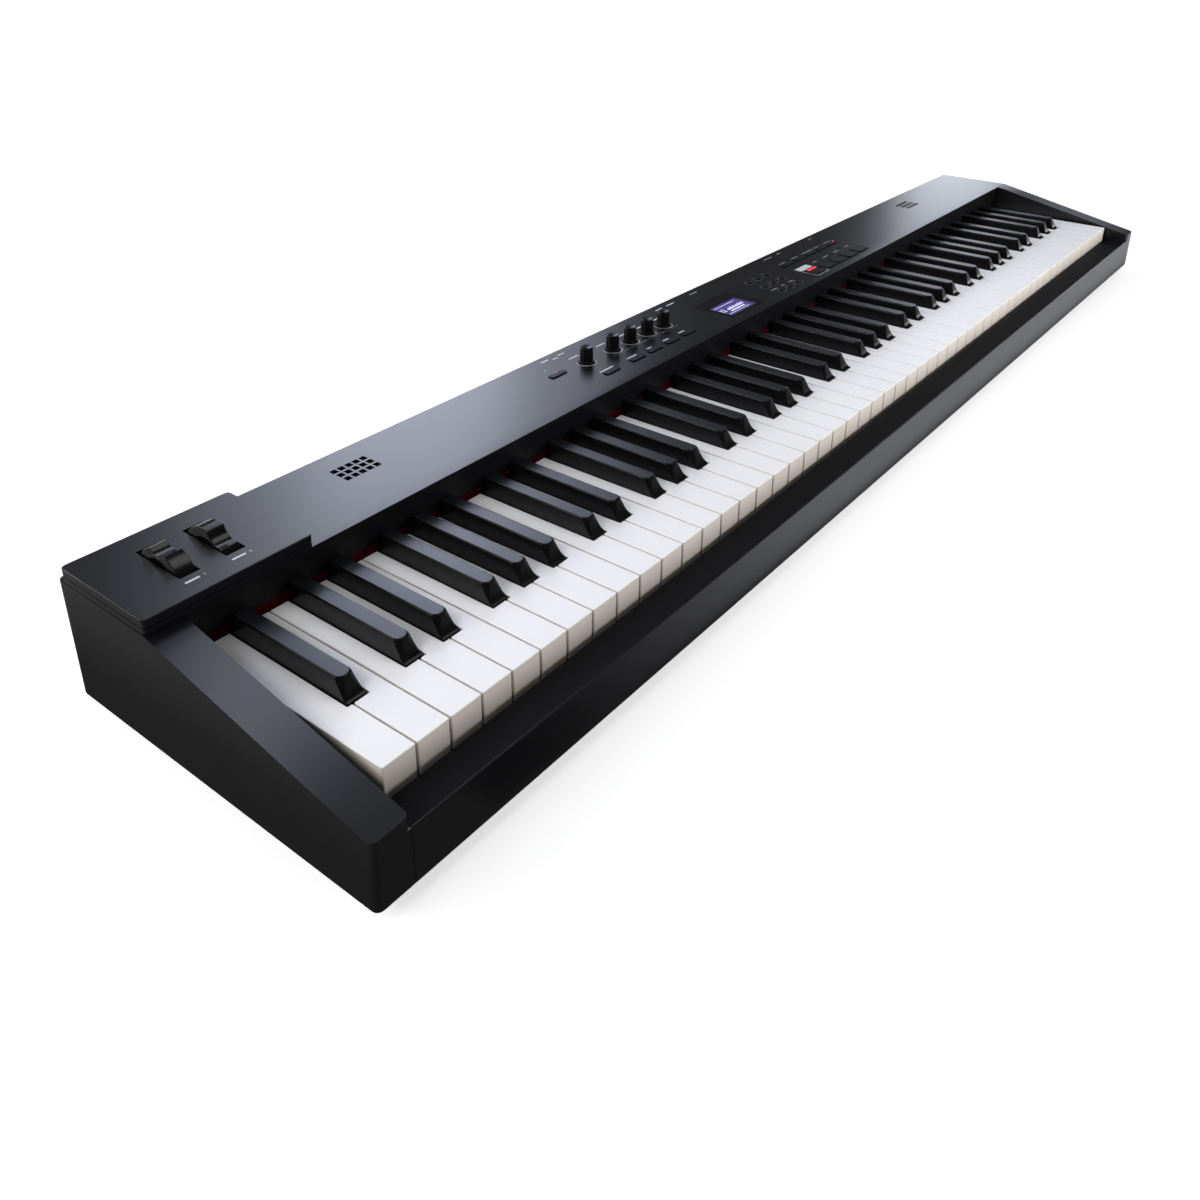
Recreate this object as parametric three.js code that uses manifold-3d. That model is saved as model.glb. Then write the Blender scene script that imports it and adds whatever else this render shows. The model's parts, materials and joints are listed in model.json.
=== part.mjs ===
// An 88-key stage piano with a built-in pair of speakers, modelled piece by piece.
// Millimetres. X runs along the keys from bass to treble, Y from the player to the rear, Z up.
// The origin is the middle of the footprint on the surface that the feet stand on.
import * as THREE from "three";
import { mergeVertices } from "three/addons/utils/BufferGeometryUtils.js";
import Module from "manifold-3d";

const wasm = await Module();
wasm.setup();

// Driving dimensions of the case
const case_height = 79;
const wall = 3;
const seat_gap = 0.3;
const cut_overrun = 2;
const panel_depth = 86;
const panel_overlap = 3;
const cheek_width = 24;
const cheek_front_height = 43;
const rail_height = 35;
const rail_depth = 22;
const corner_radius = 4;
const rear_bottom_radius = 4.5;
const edge_radius = 1.5;
const floor_thickness = 4;
const arc_steps = 4;
const corner_steps = 2;

// Driving dimensions of the feet
const foot_height = 12;
const foot_radius = 15;
const foot_taper = 2;
const foot_inset_x = 82;
const foot_inset_y = 34;
const foot_sides = 14;
const foot_edge = 1.2;

// Driving dimensions of the keyboard
const white_pitch = 23.5;
const key_gap = 1;
const octave_count = 7;
const keys_below_panel = 29;
const key_setback = 27;
const key_side_gap = 7;
const white_length = 148;
const white_height = 22;
const white_top = 2.6;
const key_wall = 1.8;
const key_chamfer = 0.7;
const black_setback = 48.5;
const black_height = 12;
const black_foot_width = 13.7;
const black_top_width = 10.4;
const black_clearance = 0.8;
const black_rear_gap = 0.6;
const black_depth_below = 14;
const black_nose_run = 7.5;
const black_nose_radius = 4.4;
const key_dip = 10;

// Driving dimensions of the key arms and their hinge bars
const arm_width = 7;
const arm_top = 4;
const arm_thickness = 9;
const hinge_bar_radius = 3.5;
const hinge_bar_sides = 8;
const hinge_bar_drop = 18.5;
const hinge_clearance = 0.3;
const hinge_rear_margin = 14;
const hinge_spacing = 14;
const hinge_web_half = 1.2;

// Driving dimensions of the fallboard and the felts
const fallboard_thickness = 2.5;
const fallboard_lean = 0.8;
const fallboard_flange = 8;
const fallboard_foot = 6;
const felt_thickness = 2.6;
const felt_height = 6.4;
const felt_below_keys = 0.9;
const stop_felt_width = 14;
const stop_felt_thickness = 3;

// Driving dimensions of the wheel module
const wheel_plate_width = 110;
const wheel_plate_rear_gap = 5;
const wheel_plate_height = 9.2;
const wheel_plate_overhang = 1.5;
const wheel_plate_side_inset = 0.5;
const wheel_plate_lip = 3.2;
const wheel_plate_reveal = 0.8;
const wheel_plate_corner = 2.5;
const wheel_plate_chamfer = 0.5;
const wheel_radius = 22;
const wheel_width = 11.5;
const wheel_rim_bevel = 0.6;
const wheel_standing_above_plate = 9.5;
const wheel_spacing = 30;
const wheel_first_x = 41.4;
const wheel_from_plate_front = 40.9;
const wheel_slot_width = 13;
const wheel_slot_clearance = 0.9;
const wheel_steps = 26;
const wheel_axle_radius = 2.5;
const wheel_axle_sides = 12;
const wheel_bore_clearance = 0.3;
const scoop_half_angle = 20;
const scoop_depth = 4.7;
const scoop_steps = 6;
const modulation_rest_angle = 30;
const bracket_wall = 3;
const bracket_end_gap = 2;
const bracket_flange = 6;
const bracket_floor_gap = 2.5;

// Driving dimensions of the controls
const knob_radius = 5.4;
const knob_skirt_radius = 7.2;
const knob_height = 13.8;
const knob_skirt_height = 1.6;
const knob_flutes = 10;
const knob_flute_depth = 0.45;
const knob_top_chamfer = 0.8;
const knob_lift = 0.4;
const knob_shaft_radius = 3;
const knob_shaft_clearance = 0.5;
const knob_row_y = 50.5;
const volume_x = -207.4;
const control_knob_count = 4;
const control_first_x = -171.8;
const control_pitch = 25.1;
const button_rise = 1.1;
const button_clearance = 0.4;
const button_taper = 0.2;
const button_flange = 1.2;
const button_flange_thickness = 1.4;
const button_corner = 1.2;
const button_travel = 1;
const small_button_width = 18.5;
const small_button_depth = 6;
const mode_row_y = 22.5;
const mode_left_x = -209.3;
const mode_first_x = -173.9;
const mode_pitch = 25.3;
const mode_row_count = 4;
const power_x = -242.7;
const power_y = 52;
const grid_button_width = 9;
const grid_button_depth = 5.6;
const grid_button_corner = 2.4;
const grid_x = 73;
const grid_pitch_x = 16.4;
const grid_pitch_y = 18.3;
const grid_size = 3;
const grid_y = 33;
const tone_count = 5;
const tone_first_x = 134.5;
const tone_pitch = 25;
const tone_button_width = 20.5;
const tone_button_depth = 14.5;
const tone_row_y = 18.5;
const scene_button_depth = 6;
const scene_row_y = 52;

// Driving dimensions of the display
const window_width = 60;
const window_depth = 42;
const window_corner = 2;
const window_x = -12.5;
const window_y = 33;
const screen_width = 44.5;
const screen_depth = 26.5;
const screen_forward = 4;
const screen_recess = 0.9;

// Driving dimensions of the speakers and their grilles
const grille_x = 450;
const grille_from_rear = 29.7;
const grille_columns = 5;
const grille_rows = 3;
const grille_pitch_x = 6.3;
const grille_pitch_y = 7.1;
const grille_hole_width = 4.7;
const grille_hole_depth = 5.1;
const speaker_radius = 27;
const speaker_height = 24;
const speaker_flange = 2.5;
const speaker_magnet_radius = 15;
const speaker_magnet_height = 9;
const speaker_sides = 16;
const speaker_from_rear = 36.1;

// Driving dimensions of the boards and the sockets
const board_thickness = 1.6;
const board_drop = 7;
const post_radius = 2.5;
const post_sides = 6;
const pot_size = 11;
const pot_height = 4;
const switch_size = 6;
const main_board_x = 300;
const main_board_width = 200;
const main_board_margin = 4;
const chip_size = 16;
const chip_height = 2.5;
const main_post_height = 5;
const jack_panel_width = 190;
const jack_panel_height = 22;
const jack_panel_x = -300;
const jack_first_x = -80;
const jack_pitch = 26;
const jack_count = 4;
const jack_radius = 3.6;
const jack_sides = 8;
const jack_depth = 16;
const jack_block = 15;
const inlet_radius = 3.5;
const usb_width = 12;
const usb_height = 8;
const socket_depth = 14;

// Driving dimensions of the key chassis
const chassis_base_thickness = 3;
const chassis_front_y = 14;
const chassis_front_width = 16;
const chassis_rear_margin = 7;
const chassis_front_margin = 7;
const chassis_rib_width = 10;
const contact_board_y = 62;
const contact_board_width = 30;
const contact_strip_width = 8;
const contact_strip_height = 4;
const landing_clearance = 0.3;

// Levels and places that follow
const octave_whites = 7;
const white_count = octave_count * octave_whites + 3;
const case_width = white_count * white_pitch + 2 * (key_side_gap + cheek_width);
const case_depth = key_setback + white_length - panel_overlap + panel_depth;
const half_width = case_width / 2;
const half_depth = case_depth / 2;
const case_bottom = foot_height;
const panel_top = foot_height + case_height;
const panel_under = panel_top - wall;
const panel_front = half_depth - panel_depth;
const wheel_plate_depth = panel_depth + wheel_plate_overhang - wheel_plate_rear_gap;
const bracket_depth = 2 * (wheel_radius + bracket_end_gap);
const cheek_top_front = case_bottom + cheek_front_height;
const rail_top = case_bottom + rail_height;
const well_half = half_width - cheek_width;
const floor_top = case_bottom + seat_gap + floor_thickness;
const key_top = panel_top - keys_below_panel;
const key_front = key_setback - half_depth;
const keyboard_left = (-white_count * white_pitch) / 2;
const white_width = white_pitch - key_gap;
const jack_panel_z = (key_top - arm_top + panel_under) / 2;
const black_slot = black_foot_width + 2 * black_clearance;
const hinge_inner = case_depth - key_setback - hinge_rear_margin;
const hinge_outer = hinge_inner - hinge_spacing;
const hinge_black = hinge_outer - hinge_spacing;

// A closed geometry as a solid
function solidOf(geometry) {
  const bare = geometry.index ? geometry.toNonIndexed() : geometry.clone();
  bare.deleteAttribute("normal");
  bare.deleteAttribute("uv");
  const merged = mergeVertices(bare, 1e-4);
  return new wasm.Manifold(
    new wasm.Mesh({
      numProp: 3,
      vertProperties: new Float32Array(merged.attributes.position.array),
      triVerts: new Uint32Array(merged.index.array),
    }),
  );
}

// A solid as a geometry
function geometryOf(solid) {
  const mesh = solid.getMesh();
  const geometry = new THREE.BufferGeometry();
  geometry.setAttribute("position", new THREE.BufferAttribute(mesh.vertProperties, 3));
  geometry.setIndex(new THREE.BufferAttribute(mesh.triVerts, 1));
  geometry.computeVertexNormals();
  return geometry;
}

function joined(solids) {
  return solids.reduce((whole, piece) => whole.add(piece));
}

function without(solid, cuts) {
  return cuts.length ? solid.subtract(joined(cuts)) : solid;
}

// A block between two corners
function block(x0, x1, y0, y1, z0, z1) {
  const geometry = new THREE.BoxGeometry(x1 - x0, y1 - y0, z1 - z0);
  geometry.translate((x0 + x1) / 2, (y0 + y1) / 2, (z0 + z1) / 2);
  return solidOf(geometry);
}

// A block by its middle and its size
function blockAt(x, y, z, width, depth, height) {
  return block(x - width / 2, x + width / 2, y - depth / 2, y + depth / 2, z - height / 2, z + height / 2);
}

// An outline of [y, z] points drawn out along X
function alongX(outline, x0, x1) {
  const shape = new THREE.Shape(outline.map(([y, z]) => new THREE.Vector2(y, z)));
  const geometry = new THREE.ExtrudeGeometry(shape, { depth: x1 - x0, bevelEnabled: false });
  const turn = new THREE.Matrix4().makeBasis(
    new THREE.Vector3(0, 1, 0),
    new THREE.Vector3(0, 0, 1),
    new THREE.Vector3(1, 0, 0),
  );
  geometry.applyMatrix4(turn);
  geometry.translate(x0, 0, 0);
  return solidOf(geometry);
}

// A flat shape drawn up along Z
function alongZ(shape, z0, z1) {
  const geometry = new THREE.ExtrudeGeometry(shape, {
    depth: z1 - z0,
    bevelEnabled: false,
    curveSegments: arc_steps,
  });
  geometry.translate(0, 0, z0);
  return solidOf(geometry);
}

// A cylinder along Z or X, by the middle of its length
function roundBar(radius, length, sides, axis) {
  const geometry = new THREE.CylinderGeometry(radius, radius, length, sides);
  geometry.rotateY(Math.PI / sides);
  geometry.rotateX(Math.PI / 2);
  if (axis === "x") geometry.rotateY(Math.PI / 2);
  if (axis === "y") geometry.rotateX(Math.PI / 2);
  return solidOf(geometry);
}

// A rectangle with round corners, as points that run counter-clockwise
function roundRectangle(x, y, width, depth, radius, steps) {
  const corners = [
    [1, -1, -90],
    [1, 1, 0],
    [-1, 1, 90],
    [-1, -1, 180],
  ];
  return corners.flatMap(([side_x, side_y, start]) =>
    Array.from({ length: steps + 1 }, (_, step) => {
      const angle = THREE.MathUtils.degToRad(start + (90 * step) / steps);
      return [
        x + side_x * (width / 2 - radius) + radius * Math.cos(angle),
        y + side_y * (depth / 2 - radius) + radius * Math.sin(angle),
      ];
    }),
  );
}

function shapeOf(points) {
  return new THREE.Shape(points.map(([x, y]) => new THREE.Vector2(x, y)));
}

// A stack of level rings of the same number of points, each counter-clockwise, closed by flat ends
function stackOf(rings) {
  const count = rings[0].points.length;
  const positions = rings.flatMap(({ points, z }) => points.flatMap(([x, y]) => [x, y, z]));
  const faces = [];
  for (let level = 0; level + 1 < rings.length; level += 1) {
    for (let corner = 0; corner < count; corner += 1) {
      const next = (corner + 1) % count;
      const low = level * count;
      const high = low + count;
      faces.push(low + corner, low + next, high + next);
      faces.push(low + corner, high + next, high + corner);
    }
  }
  const flat = (ring) => ring.points.map(([x, y]) => new THREE.Vector2(x, y));
  const top = (rings.length - 1) * count;
  for (const [a, b, c] of THREE.ShapeUtils.triangulateShape(flat(rings[0]), [])) {
    faces.push(c, b, a);
  }
  for (const [a, b, c] of THREE.ShapeUtils.triangulateShape(flat(rings[rings.length - 1]), [])) {
    faces.push(top + a, top + b, top + c);
  }
  const geometry = new THREE.BufferGeometry();
  geometry.setAttribute("position", new THREE.Float32BufferAttribute(positions, 3));
  geometry.setIndex(faces);
  return solidOf(geometry);
}

// The model, and the finishes of its pieces
const piano = new THREE.Group();
const finishes = {
  case_paint: { color: 0x1b1c20, roughness: 0.42, metalness: 0.15 },
  gloss_black: { color: 0x0c0c0e, roughness: 0.15, metalness: 0 },
  matte_black: { color: 0x17181a, roughness: 0.6, metalness: 0 },
  rubber: { color: 0x101010, roughness: 0.9, metalness: 0 },
  ivory: { color: 0xf1f0f2, roughness: 0.45, metalness: 0 },
  ebony: { color: 0x141416, roughness: 0.5, metalness: 0 },
  red_felt: { color: 0x5a1118, roughness: 0.95, metalness: 0 },
  grey_felt: { color: 0x5d5d5b, roughness: 0.95, metalness: 0 },
  chassis_grey: { color: 0x56585c, roughness: 0.6, metalness: 0 },
  steel: { color: 0x9a9ca0, roughness: 0.35, metalness: 1 },
  board_green: { color: 0x1e5a38, roughness: 0.6, metalness: 0 },
  screen: { color: 0x6d6496, roughness: 0.2, metalness: 0 },
};

function place(name, solid, finish, x = 0, y = 0, z = 0) {
  const mesh = new THREE.Mesh(geometryOf(solid), new THREE.MeshStandardMaterial(finishes[finish]));
  mesh.name = name;
  mesh.position.set(x, y, z);
  piano.add(mesh);
  return mesh;
}

// Where the controls sit on the panel, each as [x, y, width, depth, corner]
const onPanel = (y) => panel_front + y;
const smallCap = (x, y) => [x, onPanel(y), small_button_width, small_button_depth, button_corner];
const power_cap = smallCap(power_x, power_y);
const mode_caps = [smallCap(mode_left_x, mode_row_y)];
for (let index = 0; index < mode_row_count; index += 1) {
  mode_caps.push(smallCap(mode_first_x + index * mode_pitch, mode_row_y));
}
const gridCap = (column, row) => [
  grid_x + (column - (grid_size - 1) / 2) * grid_pitch_x,
  onPanel(grid_y) + (row - (grid_size - 1) / 2) * grid_pitch_y,
  grid_button_width,
  grid_button_depth,
  grid_button_corner,
];
const toneCap = (index) => [
  tone_first_x + index * tone_pitch,
  onPanel(tone_row_y),
  tone_button_width,
  tone_button_depth,
  button_corner,
];
const sceneCap = (index) => [
  tone_first_x + index * tone_pitch,
  onPanel(scene_row_y),
  tone_button_width,
  scene_button_depth,
  button_corner,
];
const grid_rows = Array.from({ length: grid_size }, (_, row) =>
  Array.from({ length: grid_size }, (_, column) => gridCap(column, row)),
);
const tone_caps = Array.from({ length: tone_count }, (_, index) => toneCap(index));
const scene_caps = Array.from({ length: tone_count }, (_, index) => sceneCap(index));
const knob_places = [volume_x];
for (let index = 0; index < control_knob_count; index += 1) {
  knob_places.push(control_first_x + index * control_pitch);
}

// Wheel module places
const wheel_plate_left = wheel_plate_side_inset - half_width;
const wheel_plate_front = panel_front - wheel_plate_overhang;
const wheel_plate_bottom = panel_top + seat_gap;
const wheel_plate_top = wheel_plate_bottom + wheel_plate_height;
const wheel_y = wheel_plate_front + wheel_from_plate_front;
const wheel_z = wheel_plate_top + wheel_standing_above_plate - wheel_radius;
const slot_floor = wheel_radius - wheel_standing_above_plate - 2 * wall;
const slot_chord = Math.sqrt(wheel_radius * wheel_radius - slot_floor * slot_floor);
const wheel_slot_length = 2 * (slot_chord + wheel_slot_clearance);
const wheel_places = [wheel_first_x - half_width, wheel_first_x + wheel_spacing - half_width];
const bracket_left = wheel_places[0] - wheel_slot_width / 2 - bracket_wall;
const bracket_right = wheel_places[1] + wheel_slot_width / 2 + bracket_wall;
const bracket_floor = wheel_z - wheel_radius - bracket_floor_gap;

// The top case: panel, cheeks and rear wall in one moulding
function caseOutline(inset, drop) {
  const slope = (panel_top - cheek_top_front) / (panel_front + half_depth);
  const run = Math.hypot(1, slope);
  const front = inset - half_depth;
  const rear = half_depth - inset;
  const radius = Math.max(rear_bottom_radius - inset, 0);
  const low = case_bottom - drop;
  const lower_top = inset * run;
  const kink = panel_front + (lower_top - inset) / slope;
  const outline = [
    [front, low],
    [rear - radius, low],
  ];
  for (let step = 1; radius > 0 && step <= arc_steps; step += 1) {
    const angle = ((step / arc_steps) * Math.PI) / 2;
    outline.push([rear - radius + radius * Math.sin(angle), low + radius - radius * Math.cos(angle)]);
  }
  outline.push([rear, panel_top - inset]);
  outline.push([kink, panel_top - inset]);
  outline.push([front, cheek_top_front - lower_top + slope * inset]);
  return outline;
}

function wellShape() {
  const shape = new THREE.Shape();
  const flare = well_half + corner_radius;
  const start = -half_depth;
  shape.moveTo(-flare, start - cut_overrun);
  shape.lineTo(flare, start - cut_overrun);
  shape.lineTo(flare, start);
  shape.absarc(flare, start + corner_radius, corner_radius, -Math.PI / 2, -Math.PI, true);
  shape.lineTo(well_half, panel_front);
  shape.lineTo(-well_half, panel_front);
  shape.lineTo(-well_half, start + corner_radius);
  shape.absarc(-flare, start + corner_radius, corner_radius, 0, -Math.PI / 2, true);
  return shape;
}

function holeThroughPanel([x, y, width, depth, corner]) {
  const points = roundRectangle(
    x,
    y,
    width + 2 * button_clearance,
    depth + 2 * button_clearance,
    corner + button_clearance,
    1,
  );
  return alongZ(shapeOf(points), panel_under - cut_overrun, panel_top + cut_overrun);
}

function grilleHoles(side) {
  const holes = [];
  for (let column = 0; column < grille_columns; column += 1) {
    for (let row = 0; row < grille_rows; row += 1) {
      const x = side * grille_x + (column - (grille_columns - 1) / 2) * grille_pitch_x;
      const y = half_depth - grille_from_rear + (row - (grille_rows - 1) / 2) * grille_pitch_y;
      const height = wall + cut_overrun;
      holes.push(blockAt(x, y, panel_under + wall / 2, grille_hole_width, grille_hole_depth, height));
    }
  }
  return holes;
}

function topCase() {
  const plan = roundRectangle(0, 0, case_width, case_depth, corner_radius, arc_steps);
  const body = alongX(caseOutline(0, 0), -half_width, half_width).intersect(
    alongZ(shapeOf(plan), case_bottom - cut_overrun, panel_top + cut_overrun),
  );
  const inner = half_width - wall;
  const below = case_bottom - cut_overrun;
  const cheek_hollow = alongX(caseOutline(wall, cut_overrun), well_half + wall, inner);
  const cuts = [
    alongZ(wellShape(), rail_top, panel_top + cut_overrun),
    block(-well_half, well_half, -half_depth - cut_overrun, panel_front, below, rail_top + wall),
    block(-well_half, well_half, panel_front - wall, half_depth - wall, below, panel_under),
    block(-inner, inner, wall - half_depth, half_depth - wall, below, floor_top + seat_gap),
    cheek_hollow,
    cheek_hollow.mirror([1, 0, 0]),
    ...grilleHoles(-1),
    ...grilleHoles(1),
    ...[...mode_caps, power_cap, ...grid_rows.flat(), ...tone_caps, ...scene_caps].map(holeThroughPanel),
    holeThroughPanel([
      window_x,
      onPanel(window_y),
      window_width,
      window_depth,
      window_corner,
    ]),
    block(
      bracket_left - seat_gap,
      bracket_right + seat_gap,
      wheel_y - bracket_depth / 2 - seat_gap,
      wheel_y + bracket_depth / 2 + seat_gap,
      panel_under - cut_overrun,
      panel_top + cut_overrun,
    ),
    block(
      jack_panel_x - jack_panel_width / 2 - seat_gap,
      jack_panel_x + jack_panel_width / 2 + seat_gap,
      half_depth - wall - cut_overrun,
      half_depth + cut_overrun,
      jack_panel_z - jack_panel_height / 2 - seat_gap,
      jack_panel_z + jack_panel_height / 2 + seat_gap,
    ),
  ];
  for (const x of knob_places) {
    const radius = knob_shaft_radius + knob_shaft_clearance;
    const shaft = roundBar(radius, wall + 2 * cut_overrun, post_sides, "z");
    cuts.push(shaft.translate([x, onPanel(knob_row_y), panel_under + wall / 2]));
  }
  return without(body, cuts);
}
place("top_case", topCase(), "case_paint");

// The floor of the case
const floor_half_width = half_width - wall - seat_gap;
const floor_half_depth = half_depth - wall - seat_gap;
const floor_shape = shapeOf(
  roundRectangle(0, 0, 2 * floor_half_width, 2 * floor_half_depth, corner_radius - wall, 1),
);
place("bottom_plate", alongZ(floor_shape, 0, floor_thickness), "matte_black", 0, 0, case_bottom + seat_gap);

// The rail in front of the keys
function frontRail() {
  const half = well_half - seat_gap;
  const back = rail_depth;
  const round = [];
  for (let step = 0; step <= arc_steps; step += 1) {
    const angle = ((step / arc_steps) * Math.PI) / 2;
    round.push([
      edge_radius - edge_radius * Math.cos(angle),
      rail_height - edge_radius + edge_radius * Math.sin(angle),
    ]);
  }
  const outline = [
    [0, 0],
    ...round,
    [back, rail_height],
    [back, rail_height - 3 * wall],
    [back - wall, rail_height - 3 * wall],
    [back - wall, rail_height - wall],
    [wall, rail_height - wall],
    [wall, 0],
  ];
  return alongX(outline.reverse(), -half, half);
}
place("front_rail", frontRail(), "case_paint", 0, -half_depth, case_bottom);

// The rubber feet
function foot() {
  const tip = foot_radius - foot_taper;
  const profile = [
    [0, 0],
    [tip - foot_edge, 0],
    [tip, foot_edge],
    [foot_radius, foot_height - foot_edge],
    [foot_radius, foot_height],
    [0, foot_height],
  ];
  const points = profile.map(([radius, z]) => new THREE.Vector2(radius, z));
  const geometry = new THREE.LatheGeometry(points, foot_sides);
  geometry.rotateX(Math.PI / 2);
  return solidOf(geometry);
}
let foot_number = 1;
for (const side_y of [-1, 1]) {
  for (const side_x of [-1, 1]) {
    place(
      "foot_" + foot_number,
      foot(),
      "rubber",
      side_x * (half_width - foot_inset_x),
      side_y * (half_depth - foot_inset_y),
    );
    foot_number += 1;
  }
}

// The fallboard behind the keys, and the red felt strip along its foot
const felt_bottom = key_top - felt_below_keys;
const felt_front = key_front + white_length + seat_gap;
const felt_back = felt_front + felt_thickness;
function fallboard() {
  const felt_top = felt_bottom + felt_height;
  const back = felt_back + seat_gap;
  const top = panel_under - seat_gap;
  const lean = felt_front + seat_gap - fallboard_lean;
  const outline = [
    [back, felt_bottom],
    [back + fallboard_thickness, felt_bottom],
    [back + fallboard_thickness, felt_top + fallboard_foot],
    [lean + fallboard_thickness, top - fallboard_thickness],
    [panel_front + fallboard_flange, top - fallboard_thickness],
    [panel_front + fallboard_flange, top],
    [lean, top],
    [felt_front + seat_gap, felt_top + seat_gap],
    [back, felt_top + seat_gap],
  ];
  return alongX(outline, seat_gap - well_half, well_half - seat_gap);
}
place("fallboard", fallboard(), "gloss_black");
const felt_half = -keyboard_left;
place(
  "felt_strip",
  block(-felt_half, felt_half, 0, felt_thickness, 0, felt_height),
  "red_felt",
  0,
  felt_front,
  felt_bottom,
);

// The outline of a white key seen from above, drawn in by an inset
function whiteOutline(cell, inset) {
  const { left, right, tail_left, tail_right } = cell;
  const front = inset;
  const shoulder = black_setback - key_gap - inset;
  const rear = white_length - inset;
  const outline = [
    [left + inset, front],
    [right - inset, front],
  ];
  if (tail_right < right) {
    outline.push([right - inset, shoulder]);
    outline.push([tail_right - inset, shoulder]);
  }
  outline.push([tail_right - inset, rear]);
  outline.push([tail_left + inset, rear]);
  if (tail_left > left) {
    outline.push([tail_left + inset, shoulder]);
    outline.push([left + inset, shoulder]);
  }
  return outline;
}

function whiteKey(cell) {
  const body = stackOf([
    { z: -white_height, points: whiteOutline(cell, 0) },
    { z: -key_chamfer, points: whiteOutline(cell, 0) },
    { z: 0, points: whiteOutline(cell, key_chamfer) },
  ]);
  const hollow = block(
    cell.tail_left + key_wall,
    cell.tail_right - key_wall,
    key_wall,
    white_length - key_wall,
    -white_height - cut_overrun,
    -white_top,
  );
  return body.subtract(hollow);
}

// A black key: square and splayed at its foot, narrow and round-nosed at its top
const black_level_shares = [
  { rise: 0, narrowing: 0, run: 0, nose: 0.04 },
  { rise: 0.1, narrowing: 0.16, run: 0.26, nose: 0.16 },
  { rise: 0.92, narrowing: 0.86, run: 0.86, nose: 0.8 },
  { rise: 1, narrowing: 1.12, run: 1.1, nose: 1 },
];
const black_nose_steps = 2;

function blackKey(centre) {
  const ring = (z, narrowing, run, nose) => {
    const taper = ((black_foot_width - black_top_width) / 2) * narrowing;
    const half = black_foot_width / 2 - taper;
    const front = black_setback + black_nose_run * run;
    const radius = black_nose_radius * nose;
    const points = [
      [centre + half, white_length - black_rear_gap],
      [centre - half, white_length - black_rear_gap],
    ];
    for (const side of [-1, 1]) {
      for (let step = 0; step <= black_nose_steps; step += 1) {
        const turn = side < 0 ? step : black_nose_steps - step;
        const angle = ((turn / black_nose_steps) * Math.PI) / 2;
        points.push([
          centre + side * (half - radius + radius * Math.cos(angle)),
          front + radius - radius * Math.sin(angle),
        ]);
      }
    }
    return { z, points };
  };
  const foot_share = black_level_shares[0];
  return stackOf([
    ring(-black_depth_below, foot_share.narrowing, foot_share.run, foot_share.nose),
    ...black_level_shares.map(({ rise, narrowing, run, nose }) => {
      return ring(rise * black_height, narrowing, run, nose);
    }),
  ]);
}

// Every cell of an octave, from the left edge of its C
function octaveCells() {
  const whites = {};
  const blacks = {};
  const groups = [
    { first: 0, names: ["c", "d", "e"] },
    { first: 3, names: ["f", "g", "a", "b"] },
  ];
  for (const { first, names } of groups) {
    const count = names.length;
    const tail = (count * white_pitch - (count - 1) * black_slot) / count;
    names.forEach((name, index) => {
      const start = first * white_pitch;
      const left = start + index * white_pitch + key_gap / 2;
      const right = left + white_width;
      const step = index * (tail + black_slot);
      whites[name] = {
        left,
        right,
        tail_left: index === 0 ? left : start + step,
        tail_right: index === count - 1 ? right : start + step + tail,
      };
      if (index < count - 1) {
        blacks[name + "_sharp"] = start + step + tail + black_slot / 2;
      }
    });
  }
  return { whites, blacks };
}
const { whites, blacks } = octaveCells();

// The arm behind a key, with the web at its end that drops to the hinge bar
function keyArm(centre, hinge_y) {
  const start = white_length - black_rear_gap - key_wall / 2;
  const arm_bottom = -arm_top - arm_thickness;
  const crosses_a_bar = hinge_y > hinge_black;
  const bend = crosses_a_bar ? [[hinge_y - hinge_web_half, arm_bottom]] : [];
  const outline = [
    [start, arm_bottom],
    ...bend,
    [hinge_y - hinge_web_half, -hinge_bar_drop],
    [hinge_y + hinge_web_half, -hinge_bar_drop],
    [hinge_y + hinge_web_half, -arm_top],
    [start, -arm_top],
  ];
  return alongX(outline, centre - arm_width / 2, centre + arm_width / 2);
}

// A set of keys moulded together on one hinge bar
function keySet(white_cells, black_centres, hinge_y) {
  const centres = [
    ...white_cells.map((cell) => (cell.tail_left + cell.tail_right) / 2),
    ...black_centres,
  ];
  const start = Math.min(...centres) - arm_width / 2;
  const end = Math.max(...centres) + arm_width / 2;
  const bar = roundBar(hinge_bar_radius, end - start, hinge_bar_sides, "x");
  return joined([
    bar.translate([(start + end) / 2, hinge_y, -hinge_bar_drop]),
    ...centres.map((centre) => keyArm(centre, hinge_y)),
    ...white_cells.map(whiteKey),
    ...black_centres.map(blackKey),
  ]);
}

const octaveX = (octave) => keyboard_left + (octave * octave_whites - 5) * white_pitch;
const outer_names = ["c", "e", "g", "b"];
const inner_names = ["d", "f", "a"];

function placeKeys(name, solid, finish, octave) {
  place(name, solid, finish, octaveX(octave), key_front, key_top);
}

const lowest_a = { ...whites.a, tail_left: whites.a.left };
placeKeys("lowest_white_keys", keySet([lowest_a, whites.b], [], hinge_outer), "ivory", 0);
placeKeys("lowest_black_key", keySet([], [blacks.a_sharp], hinge_black), "ebony", 0);
const outer_set = keySet(outer_names.map((name) => whites[name]), [], hinge_outer);
const inner_set = keySet(inner_names.map((name) => whites[name]), [], hinge_inner);
const black_set = keySet([], Object.values(blacks), hinge_black);
for (let octave = 1; octave <= octave_count; octave += 1) {
  placeKeys("octave_" + octave + "_keys_c_e_g_b", outer_set, "ivory", octave);
  placeKeys("octave_" + octave + "_keys_d_f_a", inner_set, "ivory", octave);
  placeKeys("octave_" + octave + "_black_keys", black_set, "ebony", octave);
}
const highest_c = { ...whites.c, tail_right: whites.c.right };
placeKeys("highest_white_key", keySet([highest_c], [], hinge_outer), "ivory", octave_count + 1);

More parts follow.
